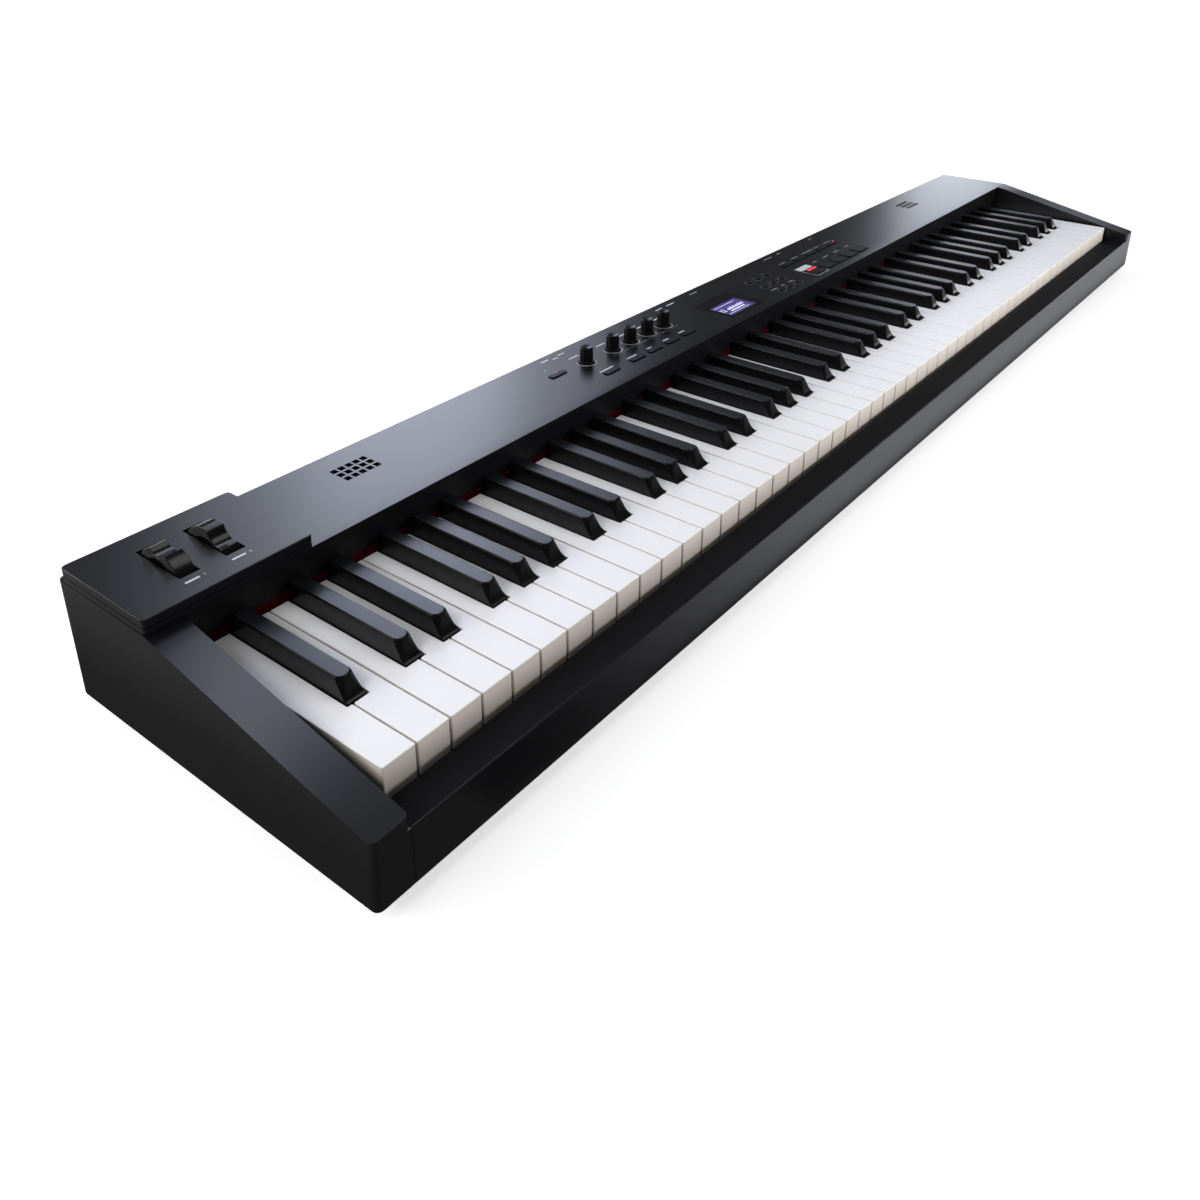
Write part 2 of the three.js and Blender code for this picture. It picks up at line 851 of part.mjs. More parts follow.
// The chassis that carries the keys: a front beam, a rear beam with hinge troughs, and ribs between
const chassis_bottom = floor_top + seat_gap;
const hinge_z = key_top - hinge_bar_drop;
const chassis_half = -keyboard_left;
const chassis_rear = key_front + hinge_black - chassis_front_margin;
const dipAt = (y) => (key_dip * (hinge_inner - y)) / hinge_inner;
const landingTop = (y) => key_top - white_height - dipAt(y) - landing_clearance;
const stop_y = chassis_front_y + (chassis_front_width - stop_felt_width) / 2;
const stop_top = landingTop(stop_y);
function keyChassis() {
  const front_y = key_front + chassis_front_y;
  const rear_start = chassis_rear;
  const rear_end = key_front + hinge_inner + chassis_rear_margin;
  const front_top = stop_top - stop_felt_thickness - seat_gap;
  const base_top = chassis_bottom + chassis_base_thickness;
  const half_rib = chassis_rib_width / 2;
  const pieces = [
    block(-chassis_half, chassis_half, front_y, front_y + chassis_front_width, chassis_bottom, front_top),
    block(-chassis_half, chassis_half, rear_start, rear_end, chassis_bottom, hinge_z),
  ];
  for (let octave = 0; octave <= octave_count + 1; octave += 1) {
    const reach = chassis_half - half_rib;
    const x = THREE.MathUtils.clamp(octaveX(octave), -reach, reach);
    pieces.push(block(x - half_rib, x + half_rib, front_y, rear_start + wall, chassis_bottom, base_top));
  }
  const troughs = [hinge_black, hinge_outer, hinge_inner].map((hinge_y) => {
    const trough = roundBar(
      hinge_bar_radius + hinge_clearance,
      2 * (chassis_half + cut_overrun),
      2 * hinge_bar_sides,
      "x",
    );
    return trough.translate([0, key_front + hinge_y, hinge_z]);
  });
  const hollow = block(
    wall - chassis_half,
    chassis_half - wall,
    rear_start + wall,
    rear_end - wall,
    chassis_bottom - cut_overrun,
    hinge_z - hinge_bar_radius - hinge_clearance - wall,
  );
  return without(joined(pieces), [...troughs, hollow]);
}
place("key_chassis", keyChassis(), "chassis_grey");

// The felt that the pressed keys land on
place(
  "stop_felt",
  block(-chassis_half, chassis_half, 0, stop_felt_width, 0, stop_felt_thickness),
  "grey_felt",
  0,
  key_front + stop_y,
  stop_top - stop_felt_thickness,
);

// The long board with the key contacts, on posts between the ribs
const contact_top = landingTop(contact_board_y + (contact_board_width - contact_strip_width) / 2);
const contact_board_bottom = contact_top - contact_strip_height - board_thickness;
function contactBoard() {
  const under = chassis_bottom - contact_board_bottom;
  const strip_y = (contact_board_width - contact_strip_width) / 2;
  const pieces = [
    block(-chassis_half, chassis_half, 0, contact_board_width, 0, board_thickness),
    block(
      wall - chassis_half,
      chassis_half - wall,
      strip_y,
      strip_y + contact_strip_width,
      board_thickness / 2,
      board_thickness + contact_strip_height,
    ),
  ];
  for (let octave = 1; octave <= octave_count; octave += 1) {
    const post = roundBar(post_radius, board_thickness / 2 - under, post_sides, "z");
    const x = octaveX(octave) + 2 * white_pitch;
    const z = (under + board_thickness / 2) / 2;
    pieces.push(post.translate([x, contact_board_width / 2, z]));
  }
  return joined(pieces);
}
place(
  "contact_board",
  contactBoard(),
  "board_green",
  0,
  key_front + contact_board_y,
  contact_board_bottom,
);

// The main board on its posts, between the contact board and the rear beam
const main_board_near = key_front + contact_board_y + contact_board_width + main_board_margin;
const main_board_far = chassis_rear - main_board_margin;
const main_board_depth = main_board_far - main_board_near;
function mainBoard() {
  const board_middle = main_post_height + board_thickness / 2;
  const pieces = [
    blockAt(0, 0, board_middle, main_board_width, main_board_depth, board_thickness),
  ];
  for (const side_x of [-1, 1]) {
    for (const side_y of [-1, 1]) {
      const post = roundBar(post_radius, main_post_height + board_thickness / 2, post_sides, "z");
      const x = side_x * (main_board_width / 2 - 2 * post_radius);
      const y = side_y * (main_board_depth / 2 - 2 * post_radius);
      pieces.push(post.translate([x, y, (main_post_height + board_thickness / 2) / 2]));
    }
  }
  for (const side of [-1, 0, 1]) {
    const x = (side * main_board_width) / 4;
    const z = main_post_height + board_thickness;
    pieces.push(blockAt(x, 0, z, chip_size, chip_size, 2 * chip_height));
  }
  return joined(pieces);
}

// The wheel module: a plate in two layers with two slots
function wheelPlate() {
  const layer = (inset, z0, z1) =>
    alongZ(
      shapeOf(
        roundRectangle(
          wheel_plate_width / 2,
          wheel_plate_depth / 2,
          wheel_plate_width - 2 * inset,
          wheel_plate_depth - 2 * inset,
          wheel_plate_corner,
          corner_steps,
        ),
      ),
      z0,
      z1,
    );
  const rim = wheel_plate_lip + wheel_plate_reveal;
  const top_points = (inset) =>
    roundRectangle(
      wheel_plate_width / 2,
      wheel_plate_depth / 2,
      wheel_plate_width - 2 * inset,
      wheel_plate_depth - 2 * inset,
      wheel_plate_corner,
      corner_steps,
    );
  const upper = stackOf([
    { z: rim, points: top_points(0) },
    { z: wheel_plate_height - wheel_plate_chamfer, points: top_points(0) },
    { z: wheel_plate_height, points: top_points(wheel_plate_chamfer) },
  ]);
  const reveal = layer(wheel_plate_reveal, 0, rim + wheel_plate_reveal);
  const lower = layer(0, 0, wheel_plate_lip);
  const cuts = wheel_places.map((x) =>
    blockAt(
      x - wheel_plate_left,
      wheel_y - wheel_plate_front,
      wheel_plate_height / 2,
      wheel_slot_width,
      wheel_slot_length,
      wheel_plate_height + cut_overrun,
    ),
  );
  const recess = block(
    bracket_left - wheel_plate_left - seat_gap,
    bracket_right - wheel_plate_left + seat_gap,
    wheel_y - bracket_depth / 2 - wheel_plate_front - seat_gap,
    wheel_y + bracket_depth / 2 - wheel_plate_front + seat_gap,
    -cut_overrun,
    wheel_plate_height - 2 * wall,
  );
  return without(joined([upper, reveal, lower]), [...cuts, recess]);
}
place("wheel_plate", wheelPlate(), "case_paint", wheel_plate_left, wheel_plate_front, wheel_plate_bottom);

// The bracket under the plate, with three walls that hold the wheel axle
const bracket_top = wheel_plate_bottom + wheel_plate_height - 2 * wall - seat_gap;
const bracket_middle = (wheel_places[0] + wheel_places[1]) / 2;
function wheelBracket() {
  const near = wheel_y - bracket_depth / 2;
  const far = wheel_y + bracket_depth / 2;
  const half_wall = bracket_wall / 2;
  const walls = [bracket_left + half_wall, bracket_middle, bracket_right - half_wall];
  const flange_top = panel_under - seat_gap;
  const pieces = [
    block(bracket_left, bracket_right, near, far, bracket_floor - bracket_wall, bracket_floor),
    ...walls.map((x) =>
      block(x - half_wall, x + half_wall, near, far, bracket_floor - bracket_wall, bracket_top),
    ),
    block(
      bracket_right - bracket_wall,
      bracket_right + 2 * bracket_flange,
      near,
      far,
      flange_top - bracket_wall,
      flange_top,
    ),
    block(
      bracket_left - bracket_flange,
      bracket_left + bracket_wall,
      near,
      far,
      flange_top - bracket_wall,
      flange_top,
    ),
  ];
  const hole = roundBar(
    wheel_axle_radius + wheel_bore_clearance,
    bracket_right - bracket_left + cut_overrun,
    wheel_axle_sides,
    "x",
  );
  return without(joined(pieces), [hole.translate([bracket_middle, wheel_y, wheel_z])]);
}
place("wheel_bracket", wheelBracket(), "matte_black");
place(
  "wheel_axle",
  roundBar(wheel_axle_radius, bracket_right - bracket_left, wheel_axle_sides, "x"),
  "steel",
  bracket_middle,
  wheel_y,
  wheel_z,
);

// A control wheel: a disc with a finger scoop in its rim
function controlWheel() {
  const half_angle = THREE.MathUtils.degToRad(scoop_half_angle);
  const chord = wheel_radius * Math.sin(half_angle);
  const sagitta = wheel_radius * Math.cos(half_angle) - (wheel_radius - scoop_depth);
  const scoop_radius = (chord * chord + sagitta * sagitta) / (2 * sagitta);
  const scoop_centre = wheel_radius - scoop_depth + scoop_radius;
  const scoop_sweep = Math.asin(chord / scoop_radius);
  const outline = (inset) => {
    const points = [];
    const radius = wheel_radius - inset;
    for (let step = 0; step <= wheel_steps; step += 1) {
      const angle = half_angle + (step / wheel_steps) * 2 * (Math.PI - half_angle);
      points.push([radius * Math.sin(angle), radius * Math.cos(angle)]);
    }
    for (let step = 1; step < scoop_steps; step += 1) {
      const angle = (1 - (2 * step) / scoop_steps) * -scoop_sweep;
      points.push([
        (scoop_radius + inset) * Math.sin(angle),
        scoop_centre - (scoop_radius + inset) * Math.cos(angle),
      ]);
    }
    return points;
  };
  const wheel = stackOf([
    { z: -wheel_width / 2, points: outline(wheel_rim_bevel).reverse() },
    { z: wheel_rim_bevel - wheel_width / 2, points: outline(0).reverse() },
    { z: wheel_width / 2 - wheel_rim_bevel, points: outline(0).reverse() },
    { z: wheel_width / 2, points: outline(wheel_rim_bevel).reverse() },
  ]);
  const bore = roundBar(
    wheel_axle_radius + wheel_bore_clearance,
    wheel_width + cut_overrun,
    wheel_axle_sides,
    "z",
  );
  return wheel.subtract(bore);
}
function placeWheel(name, x, lean) {
  const mesh = place(name, controlWheel(), "matte_black", x, wheel_y, wheel_z);
  const upright = new THREE.Matrix4().makeBasis(
    new THREE.Vector3(0, 1, 0),
    new THREE.Vector3(0, 0, 1),
    new THREE.Vector3(1, 0, 0),
  );
  mesh.setRotationFromMatrix(upright);
  mesh.rotateZ(THREE.MathUtils.degToRad(lean));
}
placeWheel("pitch_wheel", wheel_places[0], 0);
placeWheel("modulation_wheel", wheel_places[1], modulation_rest_angle);

// The knobs, fluted above a plain skirt, each on its shaft
function knob() {
  const ring = (radius, depth) => {
    const points = [];
    for (let step = 0; step < 2 * knob_flutes; step += 1) {
      const angle = (step * Math.PI) / knob_flutes;
      const reach = step % 2 ? radius - depth : radius;
      points.push([reach * Math.cos(angle), reach * Math.sin(angle)]);
    }
    return points;
  };
  const body = stackOf([
    { z: knob_lift, points: ring(knob_skirt_radius, 0) },
    { z: knob_skirt_height, points: ring(knob_radius + knob_flute_depth, knob_flute_depth) },
    { z: knob_height - knob_top_chamfer, points: ring(knob_radius, knob_flute_depth) },
    { z: knob_height, points: ring(knob_radius - knob_top_chamfer, 0) },
  ]);
  const shaft_end = pot_height + seat_gap - board_drop - wall;
  const length = knob_skirt_height - shaft_end;
  const shaft = roundBar(knob_shaft_radius, length, post_sides, "z");
  return body.add(shaft.translate([0, 0, knob_skirt_height - length / 2]));
}
knob_places.forEach((x, index) => {
  const name = index === 0 ? "volume_knob" : "control_knob_" + index;
  place(name, knob(), "matte_black", x, onPanel(knob_row_y), panel_top);
});

// A button cap that stands a little above the panel
const strip_top = -wall - 2 * seat_gap;
function buttonCap([x, y, width, depth, corner]) {
  const points = (inset) => roundRectangle(x, y, width - 2 * inset, depth - 2 * inset, corner, 1);
  return stackOf([
    { z: strip_top - button_flange_thickness / 2, points: points(0) },
    { z: button_rise, points: points(button_taper) },
  ]);
}

// A row of caps moulded on one strip under the panel
function buttonStrip(caps) {
  const left = Math.min(...caps.map(([x, , width]) => x - width / 2)) - button_flange;
  const right = Math.max(...caps.map(([x, , width]) => x + width / 2)) + button_flange;
  const near = Math.min(...caps.map(([, y, , depth]) => y - depth / 2)) - button_flange;
  const far = Math.max(...caps.map(([, y, , depth]) => y + depth / 2)) + button_flange;
  const strip = block(left, right, near, far, strip_top - button_flange_thickness, strip_top);
  return joined([strip, ...caps.map(buttonCap)]);
}
function placeButtons(name, caps) {
  place(name, buttonStrip(caps), "matte_black", 0, 0, panel_top);
}
placeButtons("power_button", [power_cap]);
placeButtons("mode_buttons", mode_caps);
grid_rows.forEach((row, index) => placeButtons("grid_buttons_" + (grid_size - index), row));
placeButtons("tone_buttons", tone_caps);
placeButtons("scene_buttons", scene_caps);

// The display: a window frame flush with the panel, and the screen under it
function displayWindow() {
  const frame = alongZ(
    shapeOf(roundRectangle(0, 0, window_width, window_depth, window_corner, 1)),
    -wall,
    0,
  );
  const opening = blockAt(0, -screen_forward, 0, screen_width, screen_depth, 2 * (wall + cut_overrun));
  return frame.subtract(opening);
}
place("display_window", displayWindow(), "gloss_black", window_x, onPanel(window_y), panel_top);
function displayScreen() {
  const back_half_width = window_width / 2 + wall;
  const back_half_depth = window_depth / 2 + wall;
  const glass_half_width = screen_width / 2 - seat_gap;
  const glass_half_depth = screen_depth / 2 - seat_gap;
  const back_top = -wall - seat_gap;
  const back = block(
    -back_half_width,
    back_half_width,
    -back_half_depth,
    back_half_depth,
    seat_gap - board_drop - wall,
    back_top,
  );
  const glass = block(
    -glass_half_width,
    glass_half_width,
    -screen_forward - glass_half_depth,
    -screen_forward + glass_half_depth,
    back_top - wall / 2,
    -screen_recess,
  );
  return glass.add(back);
}
place("display_screen", displayScreen(), "screen", window_x, onPanel(window_y), panel_top);

// The board under the panel, with a pot under each knob and a switch under each button
const switch_height = board_drop - button_flange_thickness - button_travel - 3 * seat_gap;
const board_left = power_x - small_button_width;
const board_right = tone_caps[tone_count - 1][0] + tone_button_width;
const board_near = onPanel(fallboard_flange + wall);
const board_far = onPanel(knob_row_y + small_button_width / 2);
const board_top = panel_under - board_drop;
function panelBoard() {
  const board_under = board_top - board_thickness;
  const pieces = [block(board_left, board_right, board_near, board_far, board_under, board_top)];
  for (const x of knob_places) {
    pieces.push(
      blockAt(x, onPanel(knob_row_y), board_top, pot_size, pot_size, 2 * pot_height),
    );
  }
  for (const [x, y] of [power_cap, ...mode_caps, ...grid_rows.flat(), ...tone_caps, ...scene_caps]) {
    const half = switch_size / 2;
    const foot = board_top - board_thickness / 2;
    pieces.push(block(x - half, x + half, y - half, y + half, foot, board_top + switch_height));
  }
  for (const x of [board_left + 2 * post_radius, board_right - 2 * post_radius]) {
    for (const y of [board_near + 2 * post_radius, board_far - 2 * post_radius]) {
      const length = board_drop + board_thickness - seat_gap;
      const post = roundBar(post_radius, length, post_sides, "z");
      pieces.push(post.translate([x, y, panel_under - seat_gap - length / 2]));
    }
  }
  return joined(pieces);
}
place("panel_board", panelBoard(), "board_green");
place(
  "main_board",
  mainBoard(),
  "board_green",
  main_board_x,
  (main_board_near + main_board_far) / 2,
  chassis_bottom,
);

// The speakers under the grilles
function speaker() {
  const cone_radius = speaker_radius - speaker_flange;
  const waist = speaker_height - speaker_magnet_height;
  const profile = [
    [0, -speaker_height],
    [speaker_magnet_radius, -speaker_height],
    [speaker_magnet_radius, -waist],
    [cone_radius, -speaker_flange],
    [speaker_radius, -speaker_flange],
    [speaker_radius, 0],
    [cone_radius, 0],
    [speaker_magnet_radius / 2, -waist + speaker_flange],
    [0, -waist + speaker_flange],
  ];
  const points = profile.map(([radius, z]) => new THREE.Vector2(radius, z));
  const geometry = new THREE.LatheGeometry(points, speaker_sides);
  geometry.rotateX(Math.PI / 2);
  return solidOf(geometry);
}
[-1, 1].forEach((side) => {
  const name = side < 0 ? "speaker_left" : "speaker_right";
  const speaker_y = half_depth - speaker_from_rear;
  place(name, speaker(), "matte_black", side * grille_x, speaker_y, panel_under - seat_gap);
});

// The socket panel in the rear wall, with a block behind it for each socket
function socketBlock(x, depth) {
  const half = jack_block / 2;
  return block(x - half, x + half, -depth - wall, -wall / 2, -half, half);
}
function jackPanel() {
  const half = jack_panel_width / 2;
  const tall = jack_panel_height / 2;
  const pieces = [block(-half, half, -wall, 0, -tall, tall)];
  const cuts = [];
  for (let index = 0; index < jack_count; index += 1) {
    const x = jack_first_x + index * jack_pitch;
    pieces.push(socketBlock(x, jack_depth));
    const hole = roundBar(jack_radius, jack_depth + cut_overrun, jack_sides, "y");
    cuts.push(hole.translate([x, cut_overrun / 2 - jack_depth / 2 + cut_overrun / 2, 0]));
  }
  const usb_x = jack_first_x + jack_count * jack_pitch;
  const inlet_x = usb_x + 1.5 * jack_pitch;
  for (const x of [usb_x, inlet_x]) {
    pieces.push(socketBlock(x, socket_depth));
  }
  const usb_middle = (cut_overrun - socket_depth) / 2;
  cuts.push(blockAt(usb_x, usb_middle, 0, usb_width, socket_depth + cut_overrun, usb_height));
  const inlet = roundBar(inlet_radius, socket_depth + cut_overrun, jack_sides, "y");
  cuts.push(inlet.translate([inlet_x, cut_overrun - socket_depth / 2, 0]));
  return without(joined(pieces), cuts);
}
place("jack_panel", jackPanel(), "matte_black", jack_panel_x, half_depth, jack_panel_z);

export default piano;
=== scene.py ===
"""The visible pieces of an 88-key stage piano, built round its frame.

Metres. X runs along the keys from bass to treble, Y from the player to the rear, Z up.
"""
import json
import math

import bmesh
import bpy
from mathutils import Matrix, Vector

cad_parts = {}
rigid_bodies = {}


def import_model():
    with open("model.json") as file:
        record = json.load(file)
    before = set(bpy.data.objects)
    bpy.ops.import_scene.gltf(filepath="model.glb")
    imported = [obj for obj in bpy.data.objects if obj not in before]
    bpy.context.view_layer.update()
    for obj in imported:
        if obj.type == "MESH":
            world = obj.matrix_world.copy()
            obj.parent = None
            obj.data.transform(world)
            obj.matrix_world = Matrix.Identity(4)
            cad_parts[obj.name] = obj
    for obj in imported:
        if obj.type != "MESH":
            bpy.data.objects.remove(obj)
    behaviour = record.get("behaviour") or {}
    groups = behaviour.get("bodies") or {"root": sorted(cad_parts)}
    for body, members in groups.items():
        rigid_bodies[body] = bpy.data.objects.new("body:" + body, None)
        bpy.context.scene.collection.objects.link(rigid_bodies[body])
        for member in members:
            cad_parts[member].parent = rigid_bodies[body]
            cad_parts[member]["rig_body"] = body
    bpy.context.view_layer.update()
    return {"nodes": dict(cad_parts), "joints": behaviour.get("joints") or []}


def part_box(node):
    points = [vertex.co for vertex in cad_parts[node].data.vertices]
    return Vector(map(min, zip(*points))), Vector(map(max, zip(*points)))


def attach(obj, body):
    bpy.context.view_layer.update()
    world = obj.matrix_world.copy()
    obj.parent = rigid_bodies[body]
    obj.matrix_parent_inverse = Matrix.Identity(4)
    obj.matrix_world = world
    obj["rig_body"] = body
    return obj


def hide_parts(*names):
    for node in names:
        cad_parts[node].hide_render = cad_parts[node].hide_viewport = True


bl_info = {
    "name": "Stage piano",
    "version": (1, 0, 0),
    "blender": (4, 5, 0),
    "location": "3D View > Sidebar > Piano",
    "description": "Builds the visible pieces of an 88-key stage piano round its frame",
    "category": "Object",
}

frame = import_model()

MM = 0.001
CASE = "case"
OCTAVES = 7
OCTAVE_WHITES = 7
MERGE = 2e-6
FLAT_ANGLE = math.radians(0.6)
SHARP_ANGLE = math.radians(38)
BEVEL_ANGLE = math.radians(50)
UP = Vector((0, 0, 1))
UNIT = (1, 1, 1)
NOISE_RANGE = (0.3, 0.7)  # where most of a noise texture's factor lies
ARM_HALF = 3.5 * MM
HINGE_BAR_RADIUS = 3.4 * MM


# Sizes and colours that a user may change


def length(label, description, millimetres):
    """A length that a user may change"""
    return bpy.props.FloatProperty(
        name=label,
        description=description,
        default=millimetres * MM,
        subtype="DISTANCE",
        unit="LENGTH",
        precision=5,
    )


def colour(label, description, value):
    """A colour that a user may change"""
    return bpy.props.FloatVectorProperty(
        name=label, description=description, default=value, subtype="COLOR", size=3, min=0, max=1
    )


def amount(label, description, value):
    """A strength that a user may change"""
    return bpy.props.FloatProperty(
        name=label, description=description, default=value, min=0, max=1000
    )


def watts(label, lamp, value):
    """The power of a light"""
    return amount(label, f"Power of the {lamp}, in watts", value)


class PianoColours(bpy.types.PropertyGroup):
    """Colours of the finishes"""

    case: colour("Case paint", "Satin paint of the case", (0.0045, 0.0045, 0.0054))
    gloss: colour("Gloss black", "Fallboard, display window and wheels", (0.006, 0.006, 0.007))
    matte: colour("Matte black", "Buttons, bottom plate and sockets", (0.009, 0.0092, 0.0105))
    knob: colour("Knob", "Knobs", (0.003, 0.003, 0.0035))
    ivory_top: colour("White key top", "Top of a white key", (0.86, 0.855, 0.87))
    # Partly painted shade: the warm tone of the fronts and sides is partly their own, and their
    # darkness next to the top is painted shade
    ivory_side: colour("White key side", "Front and sides of a white key", (0.66, 0.61, 0.55))
    ebony_top: colour("Black key top", "Top of a black key", (0.007, 0.0074, 0.0088))
    ebony_side: colour("Black key side", "Sides of a black key", (0.003, 0.003, 0.0034))
    # Painted shade: the felt's red is darkened for the shade at the fallboard's foot
    felt: colour("Felt strip", "Felt along the foot of the fallboard", (0.045, 0.003, 0.006))
    print: colour("Print", "Printed marks on the panel", (0.62, 0.63, 0.66))
    faint: colour("Faint print", "Small and thin printed marks", (0.24, 0.24, 0.26))
    lamp: colour("Lamp", "Lit lamps of the buttons", (1.0, 0.045, 0.05))
    screen: colour("Screen", "Lit ground of the display", (0.068, 0.05, 0.19))


class PianoKeys(bpy.types.PropertyGroup):
    """Sizes of the keys"""

    pitch: length("Pitch", "From one white key to the next", 23.5)
    gap: length("Gap", "Between two white keys", 1.4)
    length: length("Length", "Seen length of a white key", 148)
    height: length("Height", "Height of a white key's front", 22)
    top: length("Top thickness", "Thickness of a white key's top", 2.6)
    wall: length("Wall", "Thickness of a white key's walls", 1.8)
    edge: length("Edge", "Rounding along a white key's top", 0.4)
    corner: length("Corner", "Rounding of a white key's front corners", 0.9)
    setback: length("Setback", "From the front of the white keys to the black keys", 48.5)
    clearance: length("Clearance", "Beside a black key's foot", 0.8)
    black_height: length("Black height", "Height of a black key over the white keys", 12)
    black_below: length("Black depth", "Depth of a black key under the white tops", 14)
    black_foot: length("Black foot", "Width of a black key at its foot", 13.7)
    black_top: length("Black top", "Width of a black key at its top", 10.4)
    black_run: length("Nose run", "How far the nose of a black key leans back", 7.5)
    black_nose: length("Nose", "Rounding of the nose at its top, seen from above", 4.4)
    black_crown: length("Crown", "Rounding along a black key's top", 1.0)


class PianoControls(bpy.types.PropertyGroup):
    """Sizes of the wheels, knobs, buttons and printed marks"""

    edge: length("Case edge", "Rounding of the case edges", 0.55)
    cap_edge: length("Cap edge", "Rounding of the button caps", 0.3)
    knob_radius: length("Knob radius", "Radius of a knob above its skirt", 5.1)
    skirt_radius: length("Skirt radius", "Radius of a knob's skirt", 7.1)
    rib_radius: length("Rib radius", "Radius of a knob's ribs", 0.4)
    arc_radius: length("Arc radius", "Radius of the printed arc round a knob", 8.3)
    line: length("Line", "Width of a printed line", 0.55)
    lettering: length("Label height", "Height of a printed label", 1.5)
    film: length("Film", "Thickness of the print", 0.04)
    wheel_edge: length("Wheel edge", "Rounding along a wheel's rim", 0.45)
    rib_count: bpy.props.IntProperty(
        name="Ribs", description="Ribs round a knob", default=18, min=3, max=60
    )


class PianoStage(bpy.types.PropertyGroup):
    """Light round the piano"""

    overhead: watts("Overhead", "light above the keys", 2.6)
    left_fill: watts("Left fill", "fill from the bass side", 19)
    right_fill: watts("Right fill", "fill in front of the treble keys", 7.2)
    left_glow: watts("Left glow", "wide softbox round the left box", 4.3)
    left_box: watts("Left box", "softbox that the panel's bass end mirrors", 3.6)
    right_box: watts("Right box", "softbox that the panel's treble end mirrors", 5.2)
    top_box: watts("Top box", "softbox that the left cheek's top mirrors", 3.2)
    rim_box: watts("Rim box", "softbox that the left cheek's edge mirrors", 12)
    rear_box: watts("Rear box", "softbox that the wheel plate's edges mirror", 9)
    glint_box: watts("Glint box", "softbox that the front edges mirror", 3)
    nose_box: watts("Nose box", "softbox that the treble black keys' noses mirror", 7)
    cheek_box: watts("Cheek box", "softbox that the right cheek's top mirrors", 1)
    left_card: watts("Left card", "card that the left side mirrors", 1.2)
    front_card: amount("Front card", "Brightness of the card that the front rail mirrors", 0.88)
    edge_box: watts("Edge box", "softbox that the black keys' edges mirror", 2.4)
    rear_card: watts("Rear card", "card that the rear wall mirrors", 12)
    surround: amount("Surround", "Strength of the light from all round", 0.06)
    floor_near: amount("Floor near", "Light that the floor gives itself round the piano", 0.62)
    floor_far: amount("Floor far", "Light that the floor gives itself far away", 1.1)


GROUPS = {
    "piano_colours": PianoColours,
    "piano_keys": PianoKeys,
    "piano_controls": PianoControls,
    "piano_stage": PianoStage,
}


# Finishes


def wired(tree, kind, links=(), **values):
    """A new node, with its settings and its links from (socket, output) pairs"""
    node = tree.nodes.new(kind)
    for key, value in values.items():
        setattr(node, key, value)
    for socket, output in links:
        tree.links.new(output, node.inputs[socket])
    return node


def noise(tree, place, scale, detail=3.0):
    """The factor of a noise texture"""
    node = wired(tree, "ShaderNodeTexNoise", [("Vector", place)])
    node.inputs["Scale"].default_value = scale
    node.inputs["Detail"].default_value = detail
    return node.outputs["Fac"]


def mapped(tree, value, limits, results, **values):
    """A value brought from one range, as (least, most), to another"""
    node = wired(tree, "ShaderNodeMapRange", [("Value", value)], **values)
    for name, limit in zip(("From Min", "From Max", "To Min", "To Max"), (*limits, *results)):
        node.inputs[name].default_value = limit
    return node.outputs["Result"]


def parts_of(material):
    """A material's tree, its shader, and the output with the place on the object"""
    tree = material.node_tree
    place = next(node for node in tree.nodes if node.bl_idname == "ShaderNodeTexCoord")
    return tree, tree.nodes["Principled BSDF"], place.outputs["Object"]


def finish(
    name,
    tone,
    roughness,
    grain=900.0,
    stretch=(1, 1, 1),
    variation=0.1,
    rough_spread=0.05,
    bump=0.05,
    depth=0.0001,
    specular=0.5,
    metallic=0.0,
    coat=0.0,
    glow=0.0,
    mottle=12.0,
    tint=(1, 1, 1),
):
    """A procedural finish: two close tones, and a grain in its roughness and its surface"""
    material = bpy.data.materials.new(name)
    material.use_nodes = True
    tree = material.node_tree
    shader = tree.nodes["Principled BSDF"]
    place = wired(tree, "ShaderNodeTexCoord").outputs["Object"]
    mapping = wired(tree, "ShaderNodeMapping", [("Vector", place)])
    mapping.inputs["Scale"].default_value = stretch
    fine = noise(tree, mapping.outputs["Vector"], grain)
    broad = noise(tree, place, mottle, 2.0)
    ramp = wired(tree, "ShaderNodeValToRGB", [("Fac", broad)])
    dark, pale = ramp.color_ramp.elements
    dark.position, pale.position = NOISE_RANGE
    dark.color = (*[value * (1 - variation) for value in tone], 1)
    pale.color = (*[min(value * (1 + variation), 1) for value in tone], 1)
    tree.links.new(ramp.outputs["Color"], shader.inputs["Base Color"])
    rough = mapped(tree, fine, NOISE_RANGE, (roughness - rough_spread, roughness + rough_spread))
    tree.links.new(rough, shader.inputs["Roughness"])
    relief = wired(tree, "ShaderNodeBump", [("Height", fine)])
    relief.inputs["Strength"].default_value = bump
    relief.inputs["Distance"].default_value = depth
    tree.links.new(relief.outputs["Normal"], shader.inputs["Normal"])
    shader.inputs["Specular IOR Level"].default_value = specular
    shader.inputs["Specular Tint"].default_value = (*tint, 1)
    shader.inputs["Metallic"].default_value = metallic
    shader.inputs["Coat Weight"].default_value = coat
    shader.inputs["Coat Roughness"].default_value = 0.08
    if glow:
        shader.inputs["Emission Color"].default_value = (*tone, 1)
        shader.inputs["Emission Strength"].default_value = glow
    return material


